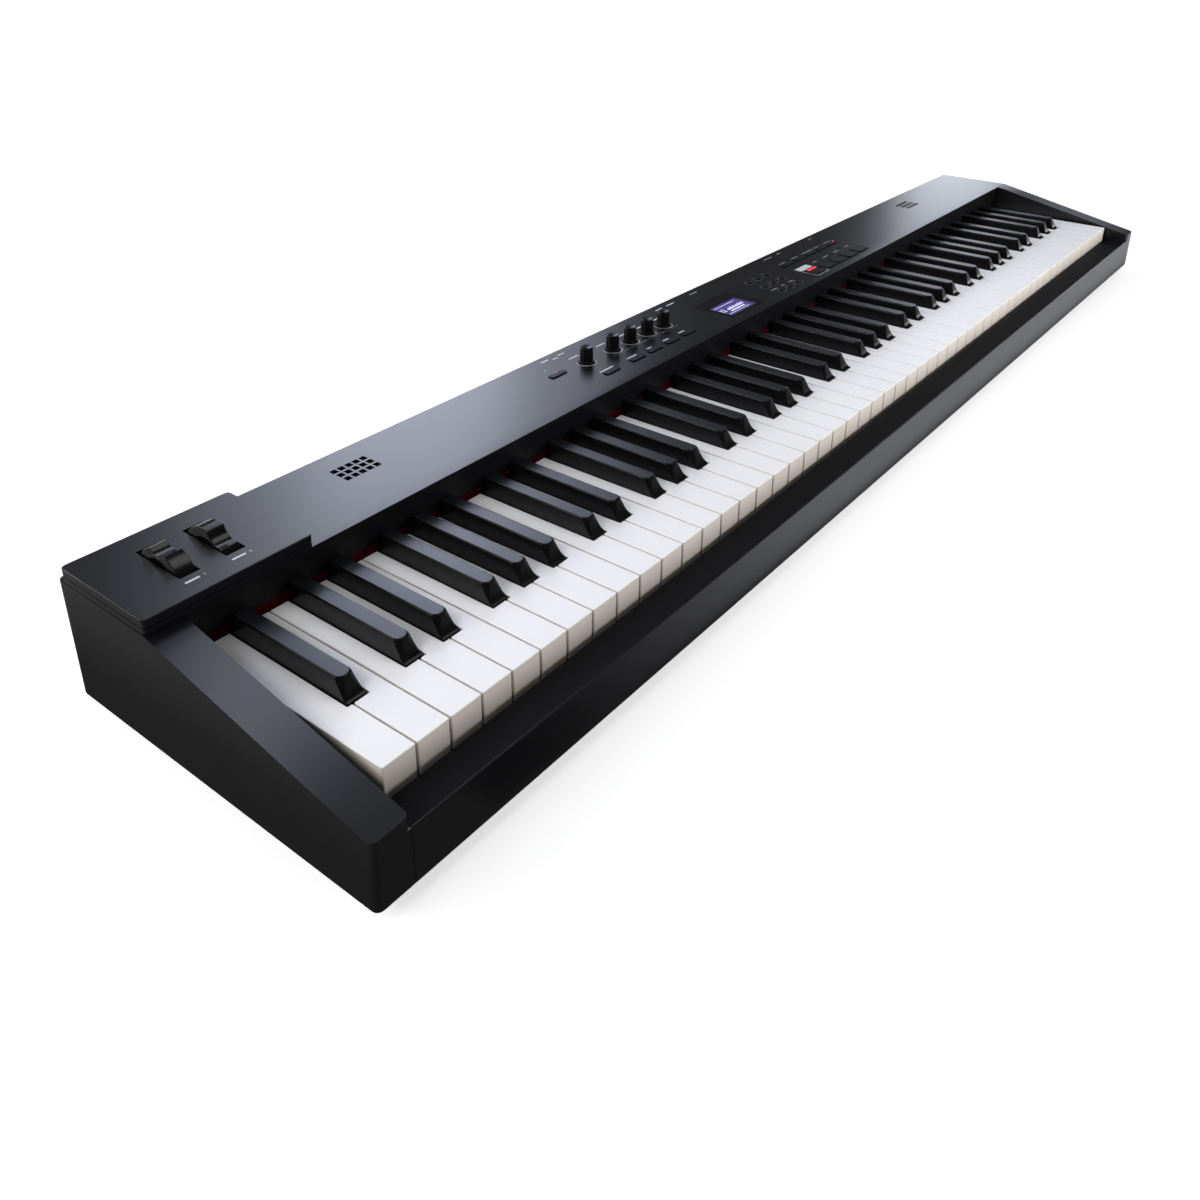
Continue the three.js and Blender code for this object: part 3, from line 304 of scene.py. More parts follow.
def ivory_grain_and_shade(name, tone):
    """A white key's front and side: fine upright grain, and painted shade that darkens them towards
    their foot
    """
    material = finish(
        name, tone, 0.5, grain=900, stretch=(1, 1, 0.06), variation=0.03, bump=0.1, specular=0.3
    )
    tree, shader, place = parts_of(material)
    ramp = next(node for node in tree.nodes if node.bl_idname == "ShaderNodeValToRGB")
    height = wired(tree, "ShaderNodeSeparateXYZ", [("Vector", place)]).outputs["Z"]
    low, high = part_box("octave_1_keys_c_e_g_b")
    # Painted shade: the colour darkens towards the foot of the key
    shade = mapped(tree, height, (low.z, high.z), (0.72, 1.0))
    mixed = wired(tree, "ShaderNodeMix", data_type="RGBA", blend_type="MULTIPLY")
    mixed.inputs["Factor"].default_value = 1.0
    colour_a, colour_b, result = mixed.inputs[6], mixed.inputs[7], mixed.outputs[2]
    tree.links.new(ramp.outputs["Color"], colour_a)
    tree.links.new(shade, colour_b)
    tree.links.new(result, shader.inputs["Base Color"])
    return material


def felt_finish(name, tone):
    """Felt: matted fibres"""
    fibres = dict(grain=2600, variation=0.25, bump=0.6, depth=0.0006, mottle=90)
    return finish(name, tone, 0.95, specular=0.03, **fibres)


def board_finish(name, tone):
    """A circuit board: tracks under a green lacquer"""
    material = finish(name, tone, 0.4, grain=400, variation=0.08, bump=0.05, coat=0.3)
    tree, shader, place = parts_of(material)
    tracks = wired(tree, "ShaderNodeTexBrick", [("Vector", place)])
    tracks.inputs["Scale"].default_value = 120.0
    tracks.inputs["Mortar Size"].default_value = 0.06
    tracks.inputs["Color1"].default_value = (*tone, 1)
    tracks.inputs["Color2"].default_value = (*[value * 1.25 for value in tone], 1)
    tracks.inputs["Mortar"].default_value = (*[value * 2.2 for value in tone], 1)
    tree.links.new(tracks.outputs["Color"], shader.inputs["Base Color"])
    return material


FINISHES = {}


def make_finishes():
    """All finishes, by the names that the pieces ask for"""
    tones = bpy.context.scene.piano_colours
    FINISHES.update(
        case=finish(
            "case_paint", tones.case, 0.3, grain=1400, variation=0.05, bump=0.02, rough_spread=0.015
        ),
        fallboard=finish(
            "fallboard_black", tones.gloss, 0.4, grain=500, bump=0.02, rough_spread=0.03,
            specular=0.08,
        ),
        # Painted shade: a dull black that barely reflects, for faces where shade falls round the
        # keys
        moulded=finish(
            "moulded_black", tones.gloss, 0.55, grain=1600, bump=0.06, rough_spread=0.03,
            specular=0.05,
        ),
        gloss=finish("gloss_black", tones.gloss, 0.14, grain=500, bump=0.02, rough_spread=0.03),
        wheel=finish(
            "wheel_black", tones.knob, 0.2, grain=900, bump=0.02, rough_spread=0.03, specular=0.4
        ),
        matte=finish(
            "matte_black", tones.matte, 0.5, grain=1800, bump=0.12, rough_spread=0.08, specular=0.35
        ),
        button=finish(
            "button_rubber", tones.knob, 0.45, grain=2400, bump=0.1, rough_spread=0.05,
            specular=0.25,
        ),
        knob=finish(
            "knob_black", tones.knob, 0.35, grain=1500, bump=0.04, rough_spread=0.04, specular=0.3
        ),
        knob_top=finish(
            "knob_top", tones.knob, 0.14, grain=900, bump=0.03, rough_spread=0.03, specular=1.0,
            coat=1.0,
        ),
        rubber=finish(
            "foot_rubber", (0.012, 0.012, 0.012), 0.85, grain=1600, bump=0.3, specular=0.2
        ),
        ivory_top=finish(
            "ivory_top",
            tones.ivory_top,
            0.42,
            grain=2200,
            stretch=(1, 0.35, 1),
            variation=0.012,
            bump=0.06,
            specular=0.3,
        ),
        ivory_side=ivory_grain_and_shade("ivory_side", tones.ivory_side),
        ebony_top=finish(
            "ebony_top",
            tones.ebony_top,
            0.33,
            grain=2600,
            stretch=(1, 0.3, 1),
            variation=0.15,
            bump=0.12,
            specular=0.55,
            # Painted reflection tone: a blue tint in the top's reflections, for the cool light they
            # mirror
            tint=(0.86, 0.91, 1.0),
        ),
        ebony_side=finish(
            "ebony_side", tones.ebony_side, 0.25, grain=1800, bump=0.04, rough_spread=0.04,
            specular=0.28,
        ),
        felt=felt_finish("red_felt", tones.felt),
        grey_felt=felt_finish("grey_felt", (0.13, 0.13, 0.125)),
        chassis=finish("chassis_plastic", (0.03, 0.031, 0.034), 0.55, grain=1500, bump=0.12),
        steel=finish(
            "plain_steel",
            (0.56, 0.57, 0.59),
            0.3,
            grain=700,
            stretch=(0.05, 1, 1),
            variation=0.05,
            metallic=1.0,
        ),
        board=board_finish("circuit_board", (0.012, 0.09, 0.035)),
        chip=finish("chip_black", (0.016, 0.016, 0.018), 0.6, grain=2000, bump=0.15),
        cone=finish("paper_cone", (0.02, 0.02, 0.021), 0.8, grain=3000, bump=0.4, specular=0.2),
        print=finish(
            "print_white", tones.print, 0.5, grain=2500, variation=0.05, bump=0.02, specular=0.3
        ),
        faint=finish(
            "print_grey", tones.faint, 0.5, grain=2500, variation=0.05, bump=0.02, specular=0.3
        ),
        dim_lamp=finish(
            "lamp_dim_red", (0.42, 0.045, 0.05), 0.4, grain=900, variation=0.06, bump=0.02,
            glow=0.25,
        ),
        lamp=finish("lamp_red", tones.lamp, 0.3, grain=900, variation=0.06, bump=0.02, glow=0.7),
        screen=finish(
            "screen_violet", tones.screen, 0.16, grain=2600, variation=0.1, bump=0.02, glow=0.55,
            mottle=40,
        ),
        symbol=finish(
            "screen_symbols", (0.72, 0.74, 0.95), 0.3, grain=2600, variation=0.06, bump=0.02,
            glow=0.55,
        ),
    )


# Shapes


def quarter_turn(steps):
    """Angles from zero to a right angle"""
    return [math.pi / 2 * step / steps for step in range(steps + 1)]


def rounded(points, steps):
    """A closed outline of (x, y, radius) corners, counter-clockwise, with its corners rounded"""
    outline = []
    for index, (x, y, radius) in enumerate(points):
        corner = Vector((x, y))
        if not radius:
            outline.append(corner)
            continue
        back = (Vector(points[index - 1][:2]) - corner).normalized()
        ahead = (Vector(points[(index + 1) % len(points)][:2]) - corner).normalized()
        centre = corner + (back + ahead) * radius
        for turn in quarter_turn(steps):
            outline.append(centre - (ahead * math.cos(turn) + back * math.sin(turn)) * radius)
    return outline


def round_rectangle(width, depth, radius, steps):
    x, y = width / 2, depth / 2
    return rounded([(-x, -y, radius), (x, -y, radius), (x, y, radius), (-x, y, radius)], steps)


def circle(radius, count):
    """Points round a circle, counter-clockwise"""
    turns = [math.tau * step / count for step in range(count)]
    return [Vector((radius * math.cos(turn), radius * math.sin(turn))) for turn in turns]


def level(outline, z):
    """A flat outline brought to a height"""
    return [(x, y, z) for x, y in outline]


def stacked(shape, rings, closed=False):
    """A skin over rings of equal numbers of points, with caps at its ends, or joined if closed"""
    loops = [[shape.verts.new(point) for point in ring] for ring in rings]
    pairs = list(zip(loops, loops[1:]))
    if closed:
        pairs.append((loops[-1], loops[0]))
    for low, high in pairs:
        for index, corner in enumerate(low):
            following = (index + 1) % len(low)
            shape.faces.new((corner, low[following], high[following], high[index]))
    if not closed:
        shape.faces.new(reversed(loops[0]))
        shape.faces.new(loops[-1])


def slab(shape, outline, x0, x1):
    """An outline of (y, z) points, counter-clockwise, drawn out along X"""
    stacked(shape, [[(x, y, z) for y, z in outline] for x in (x0, x1)])


def box(shape, x, y, z, width, depth, height, radius=0.0, steps=3):
    """A block by its middle, its foot and its size, with its upright corners rounded"""
    outline = [point + Vector((x, y)) for point in round_rectangle(width, depth, radius, steps)]
    stacked(shape, [level(outline, z), level(outline, z + height)])


def turned(shape, profile, count, x=0.0, y=0.0):
    """A turned body over a profile of (radius, z) points that runs upwards outside"""
    least, middle = 1e-5, Vector((x, y))
    rings = []
    for radius, z in profile:
        rings.append(level([point + middle for point in circle(max(radius, least), count)], z))
    stacked(shape, rings)


def mesh_of(name, shape):
    """The mesh of a shape, smooth but for its sharp edges"""
    mesh = bpy.data.meshes.new(name)
    shape.to_mesh(mesh)
    shape.free()
    mesh.shade_smooth()
    mesh.set_sharp_from_angle(angle=SHARP_ANGLE)
    return mesh


def in_scene(name, mesh):
    item = bpy.data.objects.new(name, mesh)
    bpy.context.scene.collection.objects.link(item)
    return item


def made(name, shape):
    """An object in the scene with the mesh of a shape"""
    return in_scene(name, mesh_of(name, shape))


def settled(item, weigh=True):
    """Turns an object's evaluated shape into its own plain mesh, and removes its modifiers"""
    if weigh:
        shading = item.modifiers.new("shading", "WEIGHTED_NORMAL")
        shading.keep_sharp = True
    bpy.context.view_layer.update()
    graph = bpy.context.evaluated_depsgraph_get()
    mesh = bpy.data.meshes.new_from_object(
        item.evaluated_get(graph), preserve_all_data_layers=True, depsgraph=graph
    )
    item.modifiers.clear()
    item.data = mesh
    mesh.name = item.name
    return item


def piece(item, body, finish_name=None, replaced=()):
    """Gives a finished piece its finish and its body, and hides the nodes that it stands for"""
    if finish_name:
        item.data.materials.clear()
        item.data.materials.append(FINISHES[finish_name])
    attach(item, body)
    if replaced:
        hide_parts(*replaced)
    return item


def dressed(node, width, finish_name, segments=2, plain=None, shaded_faces=None):
    """A copy of a frame node, with its facets merged and its square edges rounded

    Edges that plain(start, end) picks stay square. Faces that the second test, given their centre
    and normal, picks get a dull black that barely reflects, as painted shade.
    """
    shape = bmesh.new()
    shape.from_mesh(frame["nodes"][node].data)
    bmesh.ops.remove_doubles(shape, verts=shape.verts, dist=MERGE)
    bmesh.ops.dissolve_limit(shape, angle_limit=FLAT_ANGLE, verts=shape.verts, edges=shape.edges)
    weights = shape.edges.layers.float.new("bevel_weight_edge")
    for edge in shape.edges:
        square = edge.calc_face_angle(0.0) > BEVEL_ANGLE
        kept = plain and plain(*[corner.co for corner in edge.verts])
        edge[weights] = float(square and not kept)
    mesh = bpy.data.meshes.new(node + "_fine")
    shape.to_mesh(mesh)
    shape.free()
    mesh.shade_smooth()
    item = in_scene(node + "_fine", mesh)
    bevel = item.modifiers.new("edge", "BEVEL")
    bevel.width = width
    bevel.segments = segments
    bevel.limit_method = "WEIGHT"
    bevel.use_clamp_overlap = True
    settled(item, weigh=False)
    item.data.shade_smooth()
    item.data.set_sharp_from_angle(angle=SHARP_ANGLE)
    settled(item)
    body = frame["nodes"][node]["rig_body"]
    piece(item, body, finish_name, [node])
    # Painted shade: the picked faces take the dull black finish
    if shaded_faces:
        item.data.materials.append(FINISHES["moulded"])
        for face in item.data.polygons:
            if shaded_faces(face.center, face.normal):
                face.material_index = 1
    return item


# Geometry Nodes trees


def new_tree(name, inputs):
    """A tree with a geometry going in and coming out, and named inputs"""
    tree = bpy.data.node_groups.new(name, "GeometryNodeTree")
    tree.interface.new_socket(name="Geometry", in_out="INPUT", socket_type="NodeSocketGeometry")
    tree.interface.new_socket(name="Geometry", in_out="OUTPUT", socket_type="NodeSocketGeometry")
    for label, kind, value in inputs:
        socket = tree.interface.new_socket(name=label, in_out="INPUT", socket_type=kind)
        if value is not None:
            socket.default_value = value
    return tree, tree.nodes.new("NodeGroupInput"), tree.nodes.new("NodeGroupOutput")


def stored(tree, label, kind):
    """The output that reads a named attribute"""
    node = tree.nodes.new("GeometryNodeInputNamedAttribute")
    node.data_type = kind
    node.inputs["Name"].default_value = label
    return next(socket for socket in node.outputs if socket.enabled and socket.name == "Attribute")


def painted(tree, geometry, material):
    """A node that gives a geometry a finish"""
    links = [("Geometry", geometry.outputs[0]), ("Material", material)]
    return wired(tree, "GeometryNodeSetMaterial", links)


def set_on_points():
    """The tree that sets a shape on each point, as its attributes shape and size say"""
    name = "Shapes on points"
    if name in bpy.data.node_groups:
        return bpy.data.node_groups[name]
    tree, enter, leave = new_tree(
        name,
        [
            ("Shapes", "NodeSocketCollection", None),
            ("Finish", "NodeSocketMaterial", None),
            ("Top Finish", "NodeSocketMaterial", None),
            ("Scale", "NodeSocketFloat", 1.0),
        ],
    )
    shapes = wired(tree, "GeometryNodeCollectionInfo", [("Collection", enter.outputs["Shapes"])])
    shapes.inputs["Separate Children"].default_value = True
    shapes.inputs["Reset Children"].default_value = True
    stored_size = stored(tree, "size", "FLOAT_VECTOR")
    size = wired(tree, "ShaderNodeVectorMath", [(0, stored_size)], operation="SCALE")
    tree.links.new(enter.outputs["Scale"], size.inputs["Scale"])
    placed = wired(
        tree,
        "GeometryNodeInstanceOnPoints",
        [
            ("Points", enter.outputs["Geometry"]),
            ("Instance", shapes.outputs[0]),
            ("Instance Index", stored(tree, "shape", "INT")),
            ("Scale", size.outputs[0]),
        ],
    )
    placed.inputs["Pick Instance"].default_value = True
    real = wired(tree, "GeometryNodeRealizeInstances", [("Geometry", placed.outputs[0])])
    sides = painted(tree, real, enter.outputs["Finish"])
    tops = painted(tree, sides, enter.outputs["Top Finish"])
    tree.links.new(stored(tree, "top_face", "INT"), tops.inputs["Selection"])
    tree.links.new(tops.outputs[0], leave.inputs["Geometry"])
    return tree


def ribbed():
    """The tree that sets upright ribs round a knob"""
    name = "Ribs round a knob"
    if name in bpy.data.node_groups:
        return bpy.data.node_groups[name]
    tree, enter, leave = new_tree(
        name,
        [
            ("Count", "NodeSocketInt", 18),
            ("Circle Radius", "NodeSocketFloat", 0.005),
            ("Rib Radius", "NodeSocketFloat", 0.0004),
            ("Rib Height", "NodeSocketFloat", 0.008),
            ("Foot", "NodeSocketFloat", 0.003),
            ("Finish", "NodeSocketMaterial", None),
        ],
    )
    ring = wired(
        tree,
        "GeometryNodeMeshCircle",
        [("Vertices", enter.outputs["Count"]), ("Radius", enter.outputs["Circle Radius"])],
    )
    rib = wired(
        tree,
        "GeometryNodeMeshCylinder",
        [("Radius", enter.outputs["Rib Radius"]), ("Depth", enter.outputs["Rib Height"])],
    )
    rib.inputs["Vertices"].default_value = 8
    half = wired(tree, "ShaderNodeMath", [(0, enter.outputs["Rib Height"])], operation="DIVIDE")
    half.inputs[1].default_value = 2.0
    feet = [(0, enter.outputs["Foot"]), (1, half.outputs[0])]
    lift = wired(tree, "ShaderNodeMath", feet, operation="ADD")
    rise = wired(tree, "ShaderNodeCombineXYZ", [("Z", lift.outputs[0])])
    raised = wired(
        tree,
        "GeometryNodeTransform",
        [("Geometry", rib.outputs["Mesh"]), ("Translation", rise.outputs[0])],
    )
    ribs = wired(
        tree,
        "GeometryNodeInstanceOnPoints",
        [("Points", ring.outputs[0]), ("Instance", raised.outputs[0])],
    )
    both = wired(tree, "GeometryNodeJoinGeometry")
    tree.links.new(ribs.outputs[0], both.inputs[0])
    tree.links.new(enter.outputs["Geometry"], both.inputs[0])
    real = wired(tree, "GeometryNodeRealizeInstances", [("Geometry", both.outputs[0])])
    last = painted(tree, real, enter.outputs["Finish"])
    tree.links.new(last.outputs[0], leave.inputs["Geometry"])
    return tree


def grow(item, tree, values):
    """Gives an object a tree, with its inputs set by name"""
    modifier = item.modifiers.new(tree.name, "NODES")
    modifier.node_group = tree
    for socket in tree.interface.items_tree:
        if socket.item_type == "SOCKET" and socket.in_out == "INPUT" and socket.name in values:
            modifier[socket.identifier] = values[socket.name]
    item.update_tag()
    return item


def shape_set(name, meshes):
    """A collection of shapes, in the order given, for the trees to pick from"""
    collection = bpy.data.collections.new(name)
    for index, mesh in enumerate(meshes):
        collection.objects.link(bpy.data.objects.new(f"{name}_{index:02d}", mesh))
    return collection


def on_points(name, shapes, points, finish_name, top_name=None, weigh=True):
    """A mesh of shapes, one at each (place, shape, size)"""
    mesh = bpy.data.meshes.new(name)
    mesh.from_pydata([place for place, _, _ in points], [], [])
    columns = [
        ("shape", "INT", "value", [shape for _, shape, _ in points]),
        ("size", "FLOAT_VECTOR", "vector", [value for _, _, size in points for value in size]),
    ]
    for label, kind, field, column in columns:
        mesh.attributes.new(label, kind, "POINT").data.foreach_set(field, column)
    item = in_scene(name, mesh)
    values = {
        "Shapes": shapes,
        "Finish": FINISHES[finish_name],
        "Top Finish": FINISHES[top_name or finish_name],
    }
    grow(item, set_on_points(), values)
    return settled(item, weigh)


# The case


def panel_top():
    """The height of the panel's top"""
    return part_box("top_case")[1].z


def build_case():
    """The case, the rail that runs flush into its cheeks, the wheel plate and the bottom plate"""
    sizes = bpy.context.scene.piano_controls
    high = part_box("front_rail")[1]
    near = 1.0 * MM

    def at_seam(start, end):
        """Whether an edge lies where the rail's front or top runs on into a cheek"""
        beside = [abs(abs(point.x) - high.x) < near for point in (start, end)]
        return all(beside) and max(start.y, end.y) < high.y + near

    # Painted shade: the faces that look at the keys, the rail's top and the wheel plate's front
    # take the dull black, for the shade that falls on them
    def shaded_round_keys(centre, normal):
        """Whether a face of the top case looks at the keys"""
        inward = normal.x * centre.x < -0.9 * abs(centre.x) and abs(centre.x) < high.x + near
        forward = normal.y < -0.7 and abs(centre.x) < high.x
        return (inward or forward) and centre.z > high.z - near

    def top_side(centre, normal):
        return normal.z > 0.9

    def front_side(centre, normal):
        return normal.y < -0.9

    dressed("top_case", sizes.edge, "case", plain=at_seam, shaded_faces=shaded_round_keys)
    dressed("front_rail", sizes.edge, "case", plain=at_seam, shaded_faces=top_side)
    dressed("wheel_plate", sizes.edge / 2, "case", shaded_faces=front_side)
    dressed("bottom_plate", sizes.edge, "matte")


def build_feet():
    """Rubber feet, each with rings in its side and a hollow sole"""
    nodes = [f"foot_{number}" for number in (1, 2, 3, 4)]
    low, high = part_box(nodes[0])
    radius, height = (high.x - low.x) / 2, high.z - low.z
    sole = [(0.3, 0.45), (0.34, 0.12), (0.5, 0.1), (0.55, 0.0), (0.8, 0.0), (0.86, 0.04)]
    rings = [(0.9, 0.3), (0.88, 0.33), (0.88, 0.37), (0.92, 0.4), (0.94, 0.6), (0.92, 0.63)]
    neck = [(0.92, 0.67), (0.96, 0.7), (0.985, 0.97), (0.96, 1.0)]
    profile = sole + rings + neck
    shape = bmesh.new()
    turned(shape, [(share * radius, rise * height) for share, rise in profile], 40)
    shapes = shape_set("foot_shape", [mesh_of("foot_shape", shape)])
    points = []
    for node in nodes:
        low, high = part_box(node)
        points.append((((low.x + high.x) / 2, (low.y + high.y) / 2, low.z), 0, UNIT))
    item = on_points("rubber_feet", shapes, points, "rubber")
    piece(item, CASE, replaced=nodes)


def build_screws():
    """Screws in the bottom plate"""
    low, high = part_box("bottom_plate")
    shape = bmesh.new()
    head, socket, rise = 3.4 * MM, 1.5 * MM, 1.3 * MM
    profile = [(0.0, -rise * 0.35), (socket, -rise * 0.35), (socket, -rise)]
    profile += [(head * 0.7, -rise), (head, -rise * 0.3), (head, 0)]
    turned(shape, profile, 18)
    shapes = shape_set("screw_shape", [mesh_of("screw_shape", shape)])
    columns, rows, inset = 7, (0.08, 0.92), 0.03
    points = []
    for column in range(columns):
        share = inset + (1 - 2 * inset) * column / (columns - 1)
        for row in rows:
            place = (low.x + share * (high.x - low.x), low.y + row * (high.y - low.y), low.z)
            points.append((place, 0, UNIT))
    piece(on_points("bottom_screws", shapes, points, "steel"), CASE)


def build_fallboard():
    """The fallboard, and the felt strip along its foot with its slightly ragged edges"""
    sizes = bpy.context.scene.piano_controls
    dressed("fallboard", sizes.edge / 2, "fallboard")
    low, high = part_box("felt_strip")
    steps, ragged = 700, 0.25 * MM
    foot = [(low.y, low.z, 0.5 * MM), (high.y, low.z, 0.3 * MM)]
    outline = rounded([*foot, (high.y, high.z, 1.0 * MM), (low.y, high.z, 1.0 * MM)], 4)
    rings = []
    for step in range(steps + 1):
        x = low.x + (high.x - low.x) * step / steps
        wave = math.sin(step * 1.7) * math.sin(step * 0.61 + 1.3)
        ring = []
        for y, z in outline:
            share = (z - low.z) / (high.z - low.z)
            back = ragged * 0.4 * (1 + wave) * (1 - share)
            drop = ragged * (1 + wave) * share * 0.5
            ring.append((x, y + back, z - drop))
        rings.append(ring)
    shape = bmesh.new()
    stacked(shape, rings)
    piece(made("felt_strip_fine", shape), CASE, "felt", ["felt_strip"])


# The keys


def hinge(body):
    """The point that a body turns about"""
    return Vector(next(joint["pos_m"] for joint in frame["joints"] if joint["child"] == body))


def cells(keys):
    """White keys as (left, right, tail left, tail right), and the middles of the black keys

    A white key is measured from the left end of its pitch, a black one from the octave's left end.
    """
    slot = keys.black_foot + 2 * keys.clearance
    whites, blacks = {}, {}
    for first, names in ((0, "cde"), (3, "fgab")):
        count = len(names)
        tail = (count * keys.pitch - (count - 1) * slot) / count
        for index, name in enumerate(names):
            left, right = keys.gap / 2, keys.pitch - keys.gap / 2
            start = index * (tail + slot) - index * keys.pitch
            whites[name] = (
                left,
                right,
                left if index == 0 else start,
                right if index == count - 1 else start + tail,
            )
            if index < count - 1:
                blacks[name + "s"] = first * keys.pitch + index * (tail + slot) + tail + slot / 2
    whites["low"] = (whites["a"][0], whites["a"][1], whites["a"][0], whites["a"][3])
    whites["high"] = (whites["c"][0], whites["c"][1], whites["c"][2], whites["c"][1])
    return whites, blacks


def white_outline(keys, cell, inset):
    """A white key seen from above, with its notches beside the black keys"""
    left, right, tail_left, tail_right = cell
    front, rear = inset, keys.length - inset
    shoulder = keys.setback - keys.gap - inset
    corner = max(keys.corner - inset, keys.corner / 8)
    outer = max(keys.corner / 2 - inset, keys.corner / 16)
    inner = keys.corner / 2 + inset
    points = [(left + inset, front, corner), (right - inset, front, corner)]
    if tail_right < right:
        points += [(right - inset, shoulder, outer), (tail_right - inset, shoulder, inner)]
    points += [(tail_right - inset, rear, 0), (tail_left + inset, rear, 0)]
    if tail_left > left:
        points += [(tail_left + inset, shoulder, inner), (left + inset, shoulder, outer)]
    return rounded(points, 4)


def mark_tops(shape, height):
    """Marks the faces that lie above a height, for the finish of the top"""
    tops = shape.faces.layers.int.new("top_face")
    for face in shape.faces:
        face[tops] = int(min(corner.co.z for corner in face.verts) > height)


def arm(shape, keys, centre, reach, straight):
    """The arm behind a key, with the web that drops to its hinge bar"""
    web, top, bottom, drop = 1.2 * MM, -4 * MM, -13 * MM, -18.5 * MM
    start = keys.length - keys.wall * 0.8
    bend = [(reach - web, bottom)] if straight else []
    foot = [(reach - web, drop), (reach + web, drop)]
    outline = [(start, bottom), *bend, *foot, (reach + web, top), (start, top)]
    slab(shape, outline, centre - ARM_HALF, centre + ARM_HALF)


def white_shape(keys, cell, reach):
    """A hollow white key with its arm"""
    shape = bmesh.new()
    rings = [level(white_outline(keys, cell, keys.wall), -keys.top)]
    rings.append(level(white_outline(keys, cell, keys.wall), -keys.height))
    rings.append(level(white_outline(keys, cell, keys.edge / 2), -keys.height))
    rings.append(level(white_outline(keys, cell, 0), keys.edge / 2 - keys.height))
    for turn in quarter_turn(4):
        outline = white_outline(keys, cell, keys.edge * (1 - math.cos(turn)))
        rings.append(level(outline, -keys.edge * (1 - math.sin(turn))))
    stacked(shape, rings)
    arm(shape, keys, (cell[2] + cell[3]) / 2, reach, True)
    mark_tops(shape, -keys.edge * 1.01)
    return mesh_of("white_key", shape)


def black_ring(keys, height, inset=0.0):
    """One level of a black key: square at its foot, narrower and rounder-nosed towards its top"""
    share = max(height / keys.black_height, 0.0)
    # The foot narrows fast, and the walls above it lean in evenly
    flare = 1 - math.exp(-11 * share)
    narrowing, lean = 0.13 * flare + 0.79 * share, 0.26 * flare + 0.65 * share
    half = keys.black_foot / 2 - (keys.black_foot - keys.black_top) / 2 * narrowing - inset
    front = keys.setback + keys.black_run * lean + inset
    nose = max(keys.black_nose * (0.06 + 0.94 * share**0.8) - inset * 0.3, 0.1 * MM)
    rear = keys.length - 0.6 * MM - inset * 0.2
    heel = 0.4 * MM
    corners = [(-half, front, nose), (half, front, nose), (half, rear, heel), (-half, rear, heel)]
    return rounded(corners, 7)


def black_shape(keys, reach):
    """A black key with its arm"""
    shape = bmesh.new()
    rings = [level(black_ring(keys, 0), -keys.black_below)]
    wall_top = keys.black_height - keys.black_crown
    for share in (0, 0.015, 0.04, 0.07, 0.12, 0.2, 0.32, 0.5, 0.7, 0.88):
        rings.append(level(black_ring(keys, wall_top * share), wall_top * share))
    for turn in quarter_turn(5):
        inset = keys.black_crown * (1 - math.cos(turn))
        height = wall_top + keys.black_crown * math.sin(turn)
        rings.append(level(black_ring(keys, height, inset), height))
    stacked(shape, rings)
    arm(shape, keys, 0.0, reach, False)
    mark_tops(shape, wall_top + keys.black_crown * 0.9)
    return mesh_of("black_key", shape)


def build_keys():
    """All 88 keys: every set of keys on one hinge bar is one mesh"""
    keys = bpy.context.scene.piano_keys
    whites, blacks = cells(keys)
    low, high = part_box("octave_1_keys_c_e_g_b")
    front, top = low.y, high.z
    first_left = low.x - keys.gap / 2 - 2 * keys.pitch
    reaches = {
        "outer": hinge("octave_1_keys_c_e_g_b").y - front,
        "inner": hinge("octave_1_keys_d_f_a").y - front,
        "black": hinge("octave_1_black_keys").y - front,
    }
    bar = bmesh.new()
    slab(bar, circle(HINGE_BAR_RADIUS, 16), 0, 1)
    names = ["c", "d", "e", "f", "g", "a", "b", "low", "high"]
    meshes = []
    for name in names:
        reach = reaches["inner" if name in "dfa" else "outer"]
        meshes.append(white_shape(keys, whites[name], reach))
    meshes.append(black_shape(keys, reaches["black"]))
    meshes.append(mesh_of("hinge_bar", bar))
    shapes = shape_set("key_shape", meshes)
    black_index, bar_index = len(names), len(names) + 1
    bar_drop = top - hinge("octave_1_black_keys").z

    def key_set(body, octave_left, white_names, black_names, reach):
        offsets = {name: index * keys.pitch for index, name in enumerate("cdefgab")}
        offsets.update(low=offsets["a"], high=0.0)
        points, middles = [], []
        for name in white_names:
            x = octave_left + offsets[name]
            middles.append(x + (whites[name][2] + whites[name][3]) / 2)
            points.append(((x, front, top), names.index(name), UNIT))
        for name in black_names:
            middles.append(octave_left + blacks[name])
            points.append(((middles[-1], front, top), black_index, UNIT))
        start, end = min(middles) - ARM_HALF, max(middles) + ARM_HALF
        points.append(((start, front + reach, top - bar_drop), bar_index, (end - start, 1, 1)))
        kind = "ebony" if black_names else "ivory"
        item = on_points(body + "_fine", shapes, points, kind + "_side", kind + "_top")
        piece(item, body, replaced=[body])

    left = first_left - (OCTAVE_WHITES - 2) * keys.pitch
    key_set("lowest_white_keys", left, ["low", "b"], [], reaches["outer"])
    key_set("lowest_black_key", left, [], ["as"], reaches["black"])
    for octave in range(1, OCTAVES + 1):
        left += OCTAVE_WHITES * keys.pitch
        start = f"octave_{octave}_"
        key_set(start + "keys_c_e_g_b", left, ["c", "e", "g", "b"], [], reaches["outer"])
        key_set(start + "keys_d_f_a", left, ["d", "f", "a"], [], reaches["inner"])
        key_set(start + "black_keys", left, [], ["cs", "ds", "fs", "gs", "as"], reaches["black"])
    left += OCTAVE_WHITES * keys.pitch
    key_set("highest_white_key", left, ["high"], [], reaches["outer"])


# The wheels


WHEEL_LEANS = {"pitch_wheel": 0.0, "modulation_wheel": math.radians(30)}  # at rest


